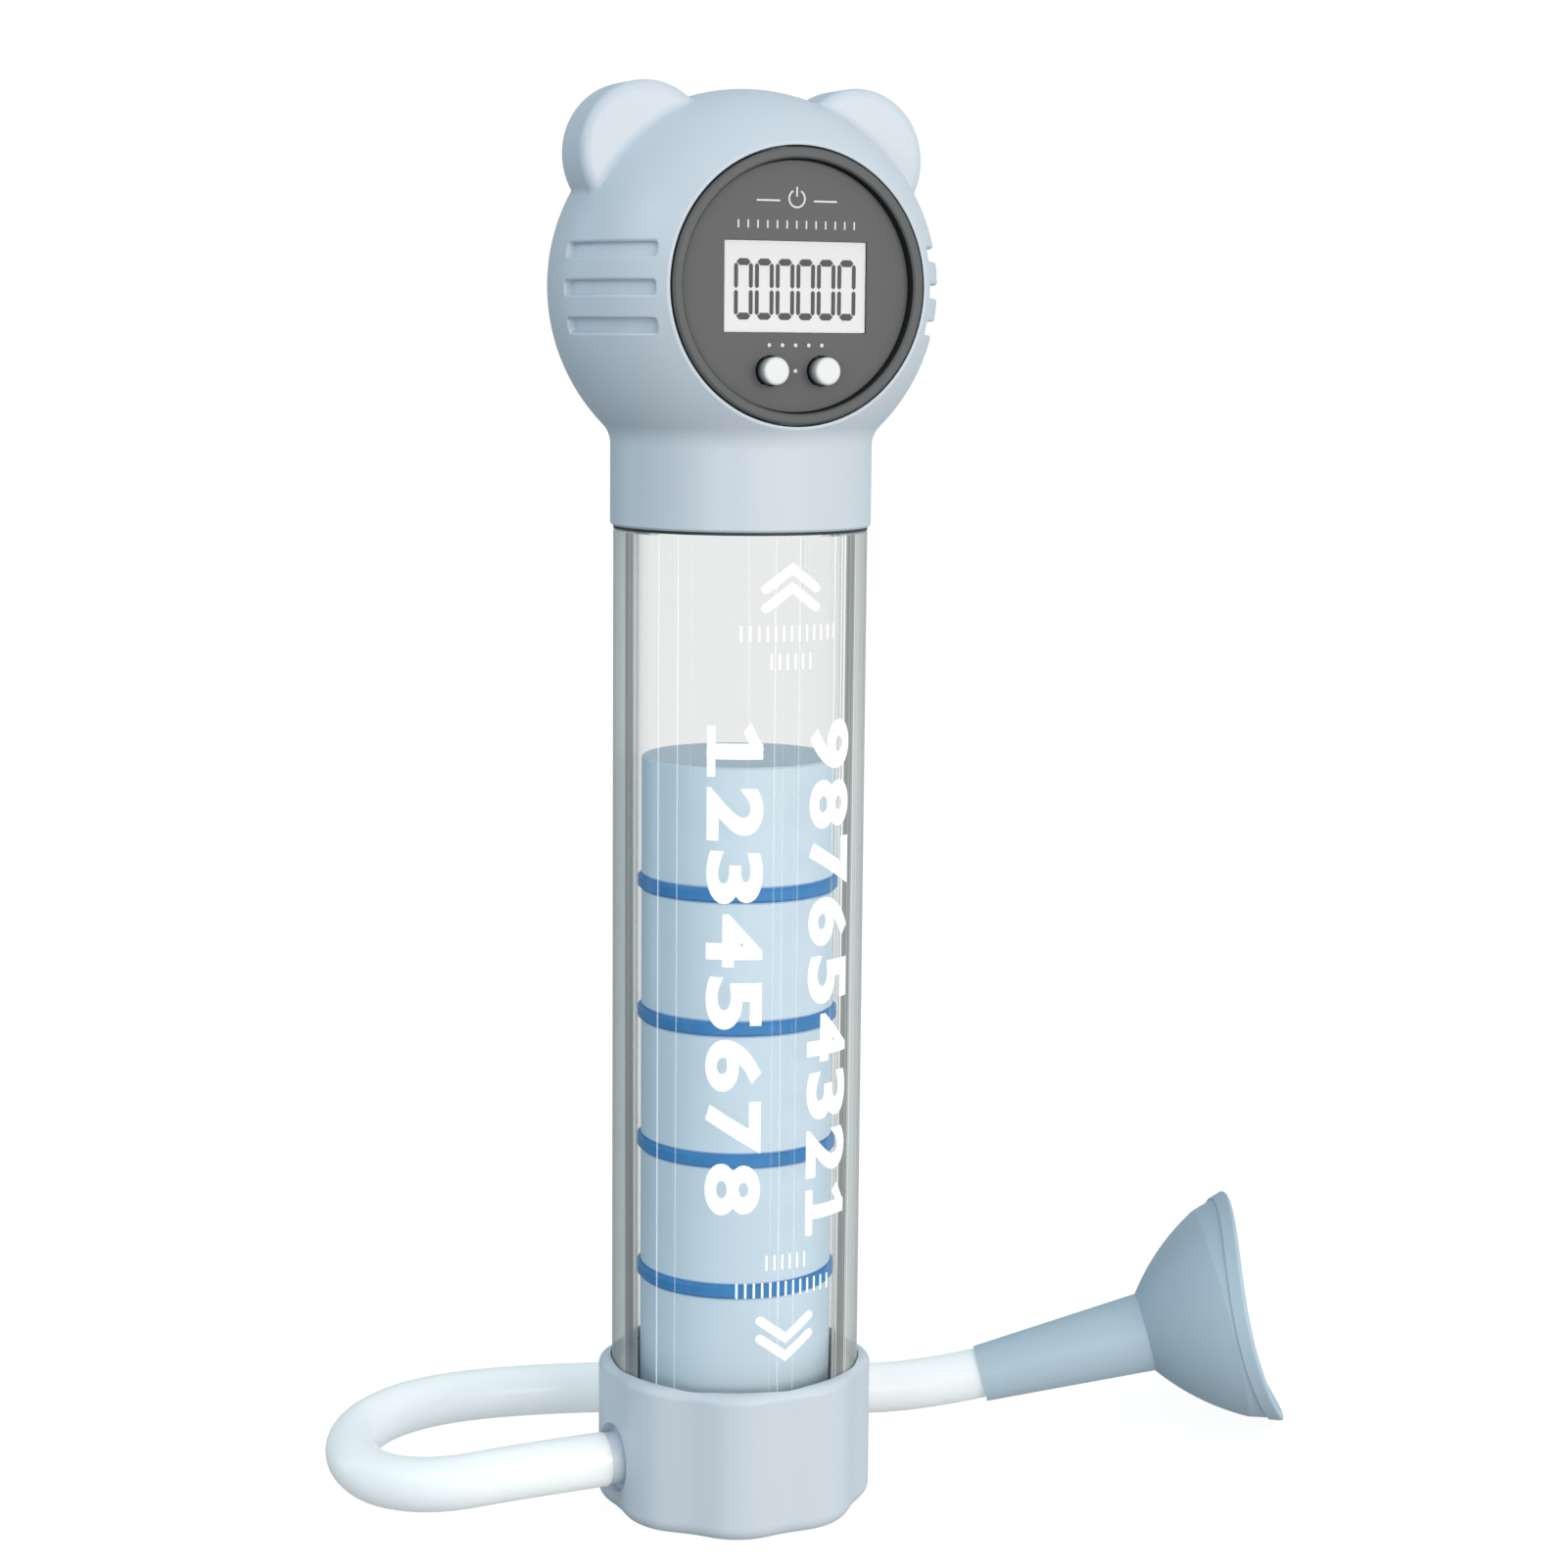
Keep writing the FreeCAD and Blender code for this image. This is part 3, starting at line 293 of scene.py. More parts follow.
class Finish:
    """One material in the making."""

    def __init__(self, name):
        self.material = bpy.data.materials.new(name)
        self.material.use_nodes = True
        self.tree = self.material.node_tree
        self.tree.nodes.clear()

    def add(self, kind, settings=None, values=None, output=0):
        """Add a node: its settings first, then the values or links of its sockets."""
        node = self.tree.nodes.new(kind)
        for key, value in (settings or {}).items():
            if key == "stops":
                self.set_stops(node.color_ramp, value)
            else:
                setattr(node, key, value)
        for key, value in (values or {}).items():
            if isinstance(value, Reading):
                self.tree.links.new(value.socket, node.inputs[key])
            else:
                node.inputs[key].default_value = value
        return Reading(self, node.outputs[output])

    @staticmethod
    def set_stops(ramp, stops):
        """Place a ramp's stops: pairs of position and grey."""
        while len(ramp.elements) < len(stops):
            ramp.elements.new(0.5)
        for element, (position, grey) in zip(ramp.elements, stops):
            element.position = position
            element.color = (grey, grey, grey, 1)

    def place(self):
        """The point on the piece, in metres."""
        return self.add("ShaderNodeTexCoord", output="Object")

    def axes(self):
        """The three coordinates of the point."""
        split = self.add("ShaderNodeSeparateXYZ", values={0: self.place()})
        outputs = split.socket.node.outputs
        return [Reading(self, outputs[index]) for index in range(3)]

    def from_counter(self):
        """Distance from the counter's middle line, scaled to stay under one."""
        x, y, z = self.axes()
        rise = z - DISPLAY_Z
        return (x * x + rise * rise) ** 0.5 * LIP_SCALE

    def noise(self, per_metre, detail=2.0, place=None, roughness=0.5):
        """Soft noise with that many spots to the metre."""
        return self.add("ShaderNodeTexNoise", values={
            "Vector": place or self.place(), "Scale": per_metre, "Detail": detail,
            "Roughness": roughness})

    def stretched(self, x, y, z):
        """The point with each axis scaled."""
        return self.add("ShaderNodeMapping", values={"Vector": self.place(), "Scale": (x, y, z)})

    def ramp(self, value, *stops):
        """A value led through stops."""
        return self.add("ShaderNodeValToRGB", {"stops": stops}, {0: value})

    def blend(self, factor, first, second):
        """A colour between two."""
        return self.add("ShaderNodeMix", {"data_type": 'RGBA'},
                        {"Factor": factor, 6: first, 7: second}, output=2)

    def bump(self, height, strength, depth):
        """A normal from a height; depth in metres."""
        return self.add("ShaderNodeBump", values={
            "Strength": strength, "Distance": depth, "Height": height})

    def grain(self, strength, per_metre=GRAIN_SPOTS, detail=2):
        """A normal from fine grain."""
        return self.bump(self.noise(per_metre, detail), strength, GRAIN_DEPTH)

    def facing(self):
        """How far the surface turns away from the eye: none head-on, one at its edge."""
        return self.add("ShaderNodeLayerWeight", values={"Blend": 0.5}, output="Facing")

    def plastic(self, **values):
        """A Principled surface; names have spaces for underscores."""
        sockets = {key.replace("_", " "): value for key, value in values.items()}
        return self.add("ShaderNodeBsdfPrincipled", values=sockets)

    def mixed(self, factor, first, second):
        """A surface between two."""
        return self.add("ShaderNodeMixShader", values={0: factor, 1: first, 2: second})

    def done(self, surface):
        """Lead the surface out and give the material."""
        node = self.tree.nodes.new("ShaderNodeOutputMaterial")
        self.tree.links.new(surface.socket, node.inputs["Surface"])
        return self.material


def moulded(name, colour, roughness, coat=0.0, glow=0.0):
    """Moulded plastic: faint clouds of colour, a fine grain and uneven gloss.

    The glow makes up for the light that the tube's wall takes from the pieces behind it.
    """
    finish = Finish(name)
    clouds = finish.noise(45, 3)
    flow = finish.noise(140, 2, finish.stretched(1, 1, 0.2))
    shade = finish.blend(clouds, tinted(colour, 0.97), tinted(colour, 1.03))
    rough = roughness - 0.05 + 0.06 * clouds + 0.04 * flow
    return finish.done(finish.plastic(
        Base_Color=shade, Roughness=rough, Normal=finish.grain(0.05), Coat_Weight=coat,
        Coat_Roughness=0.12, Emission_Color=(0.5, 0.75, 1.0, 1), Emission_Strength=glow))


def shell_plastic(name, colour):
    """Satin moulded plastic, with a soft lip round the counter's opening."""
    finish = Finish(name)
    start = OPENING_RADIUS * LIP_SCALE
    width = LIP_WIDTH * LIP_SCALE
    lip = finish.ramp(finish.from_counter(), (start, 0), (start + 0.2 * width, 0.38),
                      (start + 0.45 * width, 0.7), (start + 0.7 * width, 0.9), (start + width, 1))
    clouds = finish.noise(45, 3)
    flow = finish.noise(140, 2, finish.stretched(1, 1, 0.2))
    shade = finish.blend(clouds, tinted(colour, 0.98), tinted(colour, 1.02))
    rough = 0.36 + 0.06 * clouds + 0.04 * flow
    normal = finish.add("ShaderNodeBump", values={
        "Strength": 1.0, "Distance": LIP_DEPTH, "Height": lip, "Normal": finish.grain(0.04)})
    return finish.done(finish.plastic(
        Base_Color=shade, Roughness=rough, Normal=normal, Coat_Weight=0.1,
        Coat_Roughness=0.2, Specular_IOR_Level=0.4))


def counter_plastic(name, colour):
    """Dull dark plastic, with painted black shade where the counter's ring meets its face."""
    finish = Finish(name)
    stops = [(radius * LIP_SCALE, level) for radius, level in zip(PAINTED_SHADE_RADII, (0, 1, 1, 0))]
    painted_corner_shade = finish.ramp(finish.from_counter(), *stops)
    clouds = finish.noise(45, 3)
    shade = finish.blend(clouds, tinted(colour, 0.96), tinted(colour, 1.04))
    # Painted shade: near black where the ring meets the face, and rougher there
    shade = finish.blend(painted_corner_shade, shade, linear(8, 8, 9))
    return finish.done(finish.plastic(
        Base_Color=shade, Roughness=0.44 + 0.08 * clouds + 0.4 * painted_corner_shade,
        Normal=finish.grain(0.1), Specular_IOR_Level=0.3))


def button_cap(name, colour):
    """White cap of a push button, with painted shade that darkens its side towards the panel."""
    finish = Finish(name)
    x, y, z = finish.axes()
    height = (PANEL_FRONT - y) * BUTTON_SCALE
    # Painted shade: the cap's side darkens to near black towards the panel
    painted_base_shade = finish.ramp(height, (0.0, 0), (0.35, 0.25), (0.8, 1))
    clouds = finish.noise(120, 2)
    shade = finish.blend(painted_base_shade, linear(30, 30, 32), tinted(colour, 1.0))
    return finish.done(finish.plastic(
        Base_Color=shade, Roughness=0.3 + 0.06 * clouds, Normal=finish.grain(0.05),
        Coat_Weight=0.3, Coat_Roughness=0.12))


def silicone(name, colour):
    """Soft silicone: satin, a little light passing under its skin."""
    finish = Finish(name)
    clouds = finish.noise(60, 3)
    shade = finish.blend(clouds, tinted(colour, 0.96), tinted(colour, 1.03))
    return finish.done(finish.plastic(
        Base_Color=shade, Roughness=0.42 + 0.08 * clouds, Normal=finish.grain(0.06, 2600, 3),
        Subsurface_Weight=0.15, Subsurface_Radius=(0.4, 0.5, 0.6), Subsurface_Scale=1.5 * MM,
        Sheen_Weight=0.05))


def rubber(name, colour, roughness=0.55):
    """Rubber: dull, with fine pores."""
    finish = Finish(name)
    clouds = finish.noise(220, 3)
    pores = finish.noise(5200, 2)
    shade = finish.blend(clouds, tinted(colour, 0.85), tinted(colour, 1.15))
    return finish.done(finish.plastic(
        Base_Color=shade, Roughness=roughness - 0.05 + 0.1 * pores,
        Normal=finish.bump(pores, 0.15, GRAIN_DEPTH)))


def steel(name, colour):
    """Turned steel: fine rings round the upright axis."""
    finish = Finish(name)
    rings = finish.noise(900, 3, finish.stretched(0.05, 0.05, 1))
    shade = finish.blend(rings, tinted(colour, 0.8), tinted(colour, 1.1))
    return finish.done(finish.plastic(
        Base_Color=shade, Metallic=1.0, Roughness=0.22 + 0.2 * rings,
        Normal=finish.bump(rings, 0.1, 0.02 * MM)))


def board_green(name, colour):
    """Circuit board: green lacquer over copper tracks."""
    finish = Finish(name)
    tracks = finish.ramp(finish.noise(420, 0), (0.48, 0), (0.52, 1))
    shade = finish.blend(tracks, tinted(colour, 0.8), tinted(colour, 1.5))
    return finish.done(finish.plastic(
        Base_Color=shade, Roughness=0.3, Coat_Weight=0.5, Coat_Roughness=0.1,
        Normal=finish.bump(tracks, 0.3, 0.04 * MM)))


def reed_glass(name, colour):
    """Small glass capsule."""
    finish = Finish(name)
    band = finish.ramp(finish.noise(300, 1), (0.4, 0), (0.6, 1))
    shade = finish.blend(band, tinted(colour, 0.7), tinted(colour, 1.0))
    return finish.done(finish.plastic(
        Base_Color=shade, Roughness=0.08 + 0.05 * band, Coat_Weight=1.0))


def milky_hose(name):
    """Milky silicone hose: bright in the middle, greyer towards its edges, and lit up by a faint painted
    glow.
    """
    finish = Finish(name)
    clouds = finish.noise(70, 3)
    shade = finish.blend(clouds, linear(236, 238, 242), linear(250, 250, 252))
    # The skin's white glow is painted light that brightens the hose
    skin = finish.plastic(
        Base_Color=shade, Roughness=0.28 + 0.1 * clouds, Normal=finish.grain(0.05, 1800),
        Subsurface_Weight=0.6, Subsurface_Radius=(1, 1, 1), Subsurface_Scale=4 * MM,
        Coat_Weight=0.3, Coat_Roughness=0.1, Emission_Color=(1, 1, 1, 1), Emission_Strength=0.15)
    clear = finish.add("ShaderNodeBsdfTransparent", values={"Color": linear(246, 247, 249)})
    solid = finish.ramp(finish.facing(), (0.0, 0.94), (0.4, 0.92), (0.8, 0.9), (1.0, 0.8))
    return finish.done(finish.mixed(solid, clear, skin))


def clear_acrylic(name):
    """Clear drawn acrylic, bright through its middle; at the thick walls, grey and pale plastic mixed in
    by view angle are painted shade and painted light for refraction's bands, and the white draw streaks
    carry a painted glow.
    """
    finish = Finish(name)
    x, y, z = finish.axes()
    around = finish.add("ShaderNodeMath", {"operation": 'ARCTAN2'}, {0: x, 1: y})
    radius = (x * x + y * y) ** 0.5
    outside = finish.ramp(radius * WALL_SCALE, (WALL_START * WALL_SCALE, 0),
                          (WALL_END * WALL_SCALE, 1))
    along = finish.add("ShaderNodeCombineXYZ", values={
        0: around * STREAK_TURNS, 1: z * STREAK_RISE, 2: outside * STREAK_WALL})
    lines = finish.noise(5.5, 1, along, 0.6)
    facing = finish.facing()
    # Painted shade and painted light: the wall's grey and pale bands by view angle, still shaded by the
    # lamps
    wall = finish.ramp(facing, (0.0, 0.0), (0.41, 0.0), (0.425, 0.45), (0.455, 0.45), (0.47, 0.8),
                       (0.56, 0.8), (0.60, 0.6), (0.80, 0.55), (1.0, 0.75))
    tone = finish.ramp(facing, (0.455, 0.5), (0.47, 0.0), (0.56, 0.0), (0.585, 0.7), (0.64, 0.7),
                       (0.68, 0.55), (0.78, 0.5), (0.80, 0.3), (1.0, 0.4))
    bore = finish.ramp(facing, (0.0, 0.0), (0.75, 0.02), (0.9, 0.2), (1.0, 0.4))
    edge = finish.blend(outside, bore, wall)
    streaks = outside * finish.ramp(lines, (0.65, 0.0), (0.69, 0.2), (0.74, 0.55), (0.8, 0.65))
    clear = finish.add("ShaderNodeBsdfTransparent", values={"Color": (0.944, 0.943, 0.942, 1)})
    gloss = finish.add("ShaderNodeBsdfGlossy", values={
        "Color": (0.9, 0.9, 0.9, 1), "Roughness": 0.06})
    body = finish.mixed(0.6 * facing ** 5, clear, gloss)
    # The grey and the pale plastic of the painted bands
    dark = finish.plastic(Base_Color=linear(140, 140, 138), Roughness=0.3)
    light = finish.plastic(Base_Color=linear(238, 235, 231), Roughness=0.3)
    # White streaks with a painted glow, bright from either side
    white = finish.plastic(
        Base_Color=linear(250, 250, 252), Roughness=0.3, Emission_Color=(1, 1, 1, 1),
        Emission_Strength=0.5)
    painted_wall_bands = finish.mixed(edge * (0.85 + 0.3 * lines), body, finish.mixed(tone, dark, light))
    return finish.done(finish.mixed(streaks, painted_wall_bands, white))


def printed_ink(name, colour, glow=0.0):
    """Screen-printed ink: even, with fine pinholes of gloss; its glow is painted light that brightens
    it.
    """
    finish = Finish(name)
    specks = finish.noise(2400, 2)
    shade = finish.blend(specks, tinted(colour, 0.97), tinted(colour, 1.0))
    return finish.done(finish.plastic(
        Base_Color=shade, Roughness=0.4 + 0.15 * specks, Normal=finish.bump(specks, 0.08, 0.01 * MM),
        Emission_Color=(1, 1, 1, 1), Emission_Strength=glow))


def display_pane(name):
    """Pale reflecting pane of the display, with painted shade that darkens it upwards."""
    finish = Finish(name)
    fine = finish.noise(5200, 1)
    x, y, z = finish.axes()
    height = (z - (DISPLAY_Z - PANE_SHADE_REACH / 2)) * (1 / PANE_SHADE_REACH)
    # Painted shade: darker towards the top of the pane
    shade = finish.blend(height, linear(216, 215, 219), linear(207, 206, 211))
    return finish.done(finish.plastic(
        Base_Color=shade, Roughness=0.3 + 0.1 * fine, Coat_Weight=0.35, Coat_Roughness=0.05))


def dress(slot, material):
    """Give the material to every node whose record names that slot."""
    nodes = [part["node"] for part in frame["record"]["subparts"] if part["material_slot"] == slot]
    if not nodes:
        raise RuntimeError("no node has the material slot " + slot)
    for node in nodes:
        for holder in frame["nodes"][node].material_slots:
            holder.material = material


def only(*pieces):
    """Select these pieces and nothing else."""
    bpy.ops.object.select_all(action='DESELECT')
    for piece in pieces:
        piece.select_set(True)
    bpy.context.view_layer.objects.active = pieces[0]


def spread(count):
    """Whole steps for that many copies, centred on nought."""
    return [index - (count - 1) / 2 for index in range(count)]


def primitive(kind, name, **sizes):
    """Add a primitive at its size and place, selected alone."""
    bpy.ops.object.select_all(action='DESELECT')
    getattr(bpy.ops.mesh, "primitive_" + kind + "_add")(**sizes)
    return named(bpy.context.active_object, name)


def named(piece, name):
    """Name a piece and its mesh."""
    piece.name = name
    piece.data.name = name
    return piece


def settle(piece):
    """Bring the piece's place, turn and scale into its mesh."""
    only(piece)
    bpy.ops.object.transform_apply(location=True, rotation=True, scale=True)
    return piece


def modify(piece, kind, **settings):
    """Add a modifier and apply it."""
    only(piece)
    modifier = piece.modifiers.new(kind.lower(), kind)
    for key, value in settings.items():
        setattr(modifier, key, value)
    bpy.ops.object.modifier_apply(modifier=modifier.name)


def edit(piece, *steps):
    """Run steps in edit mode with the whole mesh selected before each."""
    only(piece)
    bpy.ops.object.mode_set(mode='EDIT')
    for step in steps:
        bpy.ops.mesh.select_all(action='SELECT')
        step()
    bpy.ops.object.mode_set(mode='OBJECT')


def joined(name, pieces):
    """Join pieces into one."""
    only(*pieces)
    bpy.ops.object.join()
    return named(bpy.context.active_object, name)


def copied(piece, move):
    """A copy with its own mesh, moved."""
    only(piece)
    bpy.ops.object.duplicate(linked=False)
    return moved(bpy.context.active_object, move)


def moved(piece, move):
    """Move a piece."""
    piece.location = Vector(move)
    return settle(piece)


def turned_flat(piece, angle):
    """Turn a flat drawing in its own plane."""
    piece.rotation_euler = (0, 0, angle)
    return settle(piece)


def bar(name, length, width, rounding=0.5, steps=4):
    """A flat bar with rounded corners, drawn along X at the origin."""
    piece = primitive("plane", name, size=1)
    piece.scale = (length, width, 1)
    settle(piece)
    offset = min(rounding, 0.499) * width
    edit(piece, lambda: bpy.ops.mesh.bevel(offset=offset, segments=steps, affect='VERTICES'))
    return piece


def upright(piece, y, z):
    """Stand a flat drawing up so that it faces -Y, at a depth and a height."""
    piece.rotation_euler = (math.radians(90), 0, 0)
    piece.location = (0, y, z)
    return settle(piece)


def sliced(piece, step):
    """Cut a flat drawing into narrow strips, so that it can follow a curve."""
    low = min(vertex.co.x for vertex in piece.data.vertices)
    high = max(vertex.co.x for vertex in piece.data.vertices)
    count = int((high - low) / step)
    only(piece)
    bpy.ops.object.mode_set(mode='EDIT')
    for index in range(1, count + 1):
        bpy.ops.mesh.select_all(action='SELECT')
        spot = low + (high - low) * index / (count + 1)
        bpy.ops.mesh.bisect(plane_co=(spot, 0, 0), plane_no=(1, 0, 0))
    bpy.ops.object.mode_set(mode='OBJECT')
    return piece


def wrapped(piece, z, turn):
    """Lay a flat drawing on the tube's outside as a thin film of ink."""
    sliced(piece, STRIP_WIDTH)
    upright(piece, -TUBE_RADIUS * WRAP_START, z)
    middle = (TUBE_HIGH.z + TUBE_LOW.z) / 2
    core = primitive("cylinder", "wrap_core", vertices=WRAP_SIDES, radius=TUBE_RADIUS + INK_GAP,
                     depth=TUBE_HIGH.z - TUBE_LOW.z, location=(0, 0, middle))
    modify(piece, 'SHRINKWRAP', target=core, wrap_method='PROJECT', use_project_y=True,
           use_negative_direction=True, use_positive_direction=True, cull_face='BACK')
    bpy.data.objects.remove(core)
    modify(piece, 'SOLIDIFY', thickness=INK_THICKNESS, offset=1)
    only(piece)
    bpy.ops.object.shade_flat()
    piece.rotation_euler = (0, 0, turn)
    return settle(piece)


def painted(piece, material, body):
    """Give a new piece its material and its body."""
    piece.data.materials.clear()
    piece.data.materials.append(material)
    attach(piece, body)


def beside_camera(x, y, z):
    """A point given as seen from the camera: right, away and up, in metres."""
    return Matrix.Rotation(-CAMERA_TURN, 4, 'Z') @ Vector((x, y, z))


class TRAINER_OT_camera(bpy.types.Operator):
    """Set up the camera at the photograph's viewing angle"""
    bl_idname = "trainer.camera"
    bl_label = "Camera"

    def execute(self, context):
        ahead = Vector((math.sin(CAMERA_SWING) * math.cos(CAMERA_TILT),
                        math.cos(CAMERA_SWING) * math.cos(CAMERA_TILT), -math.sin(CAMERA_TILT)))
        side = Vector((math.cos(CAMERA_SWING), -math.sin(CAMERA_SWING), 0))
        up = side.cross(ahead)
        right = math.cos(CAMERA_ROLL) * side + math.sin(CAMERA_ROLL) * up
        top = math.cos(CAMERA_ROLL) * up - math.sin(CAMERA_ROLL) * side
        turn = Matrix.Rotation(-CAMERA_TURN, 3, 'Z') @ Matrix((right, top, -ahead)).transposed()
        bpy.ops.object.camera_add(location=beside_camera(0, -CAMERA_DISTANCE, CAMERA_HEIGHT),
                                  rotation=turn.to_euler())
        camera = context.active_object
        camera.name = "camera"
        camera.data.lens = CAMERA_LENS
        camera.data.sensor_width = CAMERA_SENSOR
        camera.data.sensor_fit = 'HORIZONTAL'
        camera.data.clip_start = 0.01
        camera.data.clip_end = 50
        context.scene.camera = camera
        return {'FINISHED'}


class TRAINER_OT_hose(bpy.types.Operator):
    """Lay the soft hose from the air inlet to the mouth cup"""
    bl_idname = "trainer.hose"
    bl_label = "Hose"

    def execute(self, context):
        curve = bpy.data.curves.new("soft_hose", 'CURVE')
        curve.dimensions = '3D'
        spline = curve.splines.new('NURBS')
        spline.points.add(len(HOSE_ROUTE) - 1)
        for point, spot in zip(spline.points, HOSE_ROUTE):
            point.co = (*spot, 1)
        spline.order_u = 3
        spline.use_endpoint_u = True
        spline.resolution_u = 24
        curve.bevel_depth = context.scene.trainer.hose_diameter / 2
        curve.bevel_resolution = 12
        curve.use_fill_caps = True
        hose = bpy.data.objects.new("soft_hose", curve)
        context.collection.objects.link(hose)
        painted(hose, milky_hose("milky_hose"), "base")
        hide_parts("air_hose")
        return {'FINISHED'}


class TRAINER_OT_housing(bpy.types.Operator):
    """Finish the head, the base and the rear cover in satin light blue plastic"""
    bl_idname = "trainer.housing"
    bl_label = "Housing"

    def execute(self, context):
        dress("shell_blue", shell_plastic("housing_blue", context.scene.trainer.housing_colour))
        return {'FINISHED'}


class TRAINER_OT_mouth_cup(bpy.types.Operator):
    """Finish the mouth cup in soft silicone"""
    bl_idname = "trainer.mouth_cup"
    bl_label = "Mouth cup"

    def execute(self, context):
        dress("cup_silicone", silicone("cup_silicone", context.scene.trainer.cup_colour))
        return {'FINISHED'}


class TRAINER_OT_tube(bpy.types.Operator):
    """Finish the tube in clear drawn acrylic"""
    bl_idname = "trainer.tube"
    bl_label = "Tube"

    def execute(self, context):
        dress("clear_tube", clear_acrylic("clear_acrylic"))
        return {'FINISHED'}


class TRAINER_OT_piston(bpy.types.Operator):
    """Finish the weights and the rings of the piston"""
    bl_idname = "trainer.piston"
    bl_label = "Piston"

    def execute(self, context):
        settings = context.scene.trainer
        weights = moulded("weight_blue", settings.weight_colour, 0.36, coat=0.2, glow=0.05)
        dress("weight_blue", weights)
        dress("ring_blue", rubber("ring_blue", settings.ring_colour, 0.4))
        return {'FINISHED'}


class TRAINER_OT_counter(bpy.types.Operator):
    """Finish the counter's ring, face, display pane and push buttons"""
    bl_idname = "trainer.counter"
    bl_label = "Counter"

    def execute(self, context):
        colour = context.scene.trainer.panel_colour
        dress("counter_dark", counter_plastic("counter_dark", colour))
        dress("display_glass", display_pane("display_pane"))
        dress("button_white", button_cap("button_white", linear(222, 222, 223)))
        return {'FINISHED'}


class TRAINER_OT_inner_parts(bpy.types.Operator):
    """Finish the seals, the steel, the board and the other pieces inside"""
    bl_idname = "trainer.inner_parts"
    bl_label = "Inner parts"

    def execute(self, context):
        dress("seat_plastic", moulded("seat_plastic", linear(214, 222, 230), 0.5))
        dress("black_rubber", rubber("black_rubber", linear(38, 46, 56)))
        dress("steel", steel("turned_steel", (0.55, 0.56, 0.58, 1)))
        dress("board_green", board_green("board_green", linear(30, 92, 50)))
        dress("switch_black", moulded("switch_black", linear(40, 40, 44), 0.5))
        dress("reed_glass", reed_glass("reed_glass", linear(150, 190, 170)))
        dress("wire_red", rubber("wire_red", linear(190, 40, 36), 0.45))
        return {'FINISHED'}


class TRAINER_OT_display_figures(bpy.types.Operator):
    """Draw the display's figures, each a nought of six bars"""
    bl_idname = "trainer.display_figures"
    bl_label = "Display figures"

    def segment(self, length, width):
        """One bar of a figure, with its corners cut off."""
        return bar("segment", length, width, rounding=0.42, steps=1)

    def nought(self):
        """The six bars of one nought."""
        across = self.segment(FIGURE_WIDTH - 2 * FIGURE_POST + FIGURE_OVERLAP, FIGURE_BAR)
        rise = (FIGURE_HEIGHT - FIGURE_BAR) / 2
        side = (FIGURE_WIDTH - FIGURE_POST) / 2
        post_length = FIGURE_HEIGHT / 2 - FIGURE_BAR * 0.55 - 2 * FIGURE_SLIT
        post = turned_flat(self.segment(post_length, FIGURE_POST), math.radians(90))
        middle = post_length / 2 + FIGURE_SLIT
        pieces = [copied(across, (0, sign * rise, 0)) for sign in (-1, 1)]
        for right in (-1, 1):
            for top in (-1, 1):
                pieces.append(copied(post, (right * side, top * middle, 0)))
        for pattern in (across, post):
            bpy.data.objects.remove(pattern)
        return joined("nought", pieces)

    def execute(self, context):
        steps = spread(context.scene.trainer.figure_count)
        pattern = self.nought()
        figures = [copied(pattern, (step * FIGURE_PITCH, 0, 0)) for step in steps]
        bpy.data.objects.remove(pattern)
        figures = joined("display_figures", figures)
        upright(figures, GLASS_FRONT - INK_GAP / 2, DISPLAY_Z - FIGURE_DROP)
        modify(figures, 'SOLIDIFY', thickness=FIGURE_THICKNESS, offset=1)
        painted(figures, printed_ink("display_black", linear(66, 66, 70)), "tube")
        return {'FINISHED'}


class TRAINER_OT_panel_marks(bpy.types.Operator):
    """Print plain marks on the counter's face: a power sign, lines, ticks and dots"""
    bl_idname = "trainer.panel_marks"
    bl_label = "Panel marks"

    def power_sign(self, radius, stroke):
        """An open ring with a short bar at its gap."""
        ring = primitive("circle", "ring", vertices=48, radius=radius, fill_type='NGON')
        edit(ring, lambda: bpy.ops.mesh.inset(thickness=stroke))
        only(ring)
        for face in ring.data.polygons:
            centre = face.center
            in_gap = abs(math.atan2(centre.x, centre.y)) < SIGN_GAP
            face.select = len(face.vertices) > 4 or in_gap
        bpy.ops.object.mode_set(mode='EDIT')
        bpy.ops.mesh.select_mode(type='FACE')
        bpy.ops.mesh.delete(type='FACE')
        bpy.ops.object.mode_set(mode='OBJECT')
        stem = turned_flat(bar("stem", radius * 1.05, stroke), math.radians(90))
        return joined("power_sign", [ring, moved(stem, (0, radius * 0.72, 0))])

    def execute(self, context):
        pieces = [moved(self.power_sign(SIGN_RADIUS, MARK_STROKE), (0, SIGN_RISE, 0))]
        line = bar("line", LINE_LENGTH, MARK_STROKE)
        for side in (-1, 1):
            pieces.append(copied(line, (side * LINE_REACH, LINE_RISE, 0)))
        tick = turned_flat(bar("tick", SCALE_HEIGHT, SCALE_STROKE), math.radians(90))
        for step in spread(SCALE_COUNT):
            pieces.append(copied(tick, (step * SCALE_PITCH, SCALE_RISE, 0)))
        dot = bar("dot", DOT_SIZE, DOT_SIZE)
        for step in spread(DOT_COUNT):
            pieces.append(copied(dot, (step * DOT_PITCH, -DOT_DROP, 0)))
        pieces.append(copied(dot, (0, -BUTTON_DOT_DROP, 0)))
        for pattern in (line, tick, dot):
            bpy.data.objects.remove(pattern)
        marks = joined("panel_marks", pieces)
        upright(marks, PANEL_FRONT - INK_GAP / 2, DISPLAY_Z)
        modify(marks, 'SOLIDIFY', thickness=FIGURE_THICKNESS, offset=1)
        painted(marks, printed_ink("panel_white", linear(222, 222, 224)), "tube")
        return {'FINISHED'}


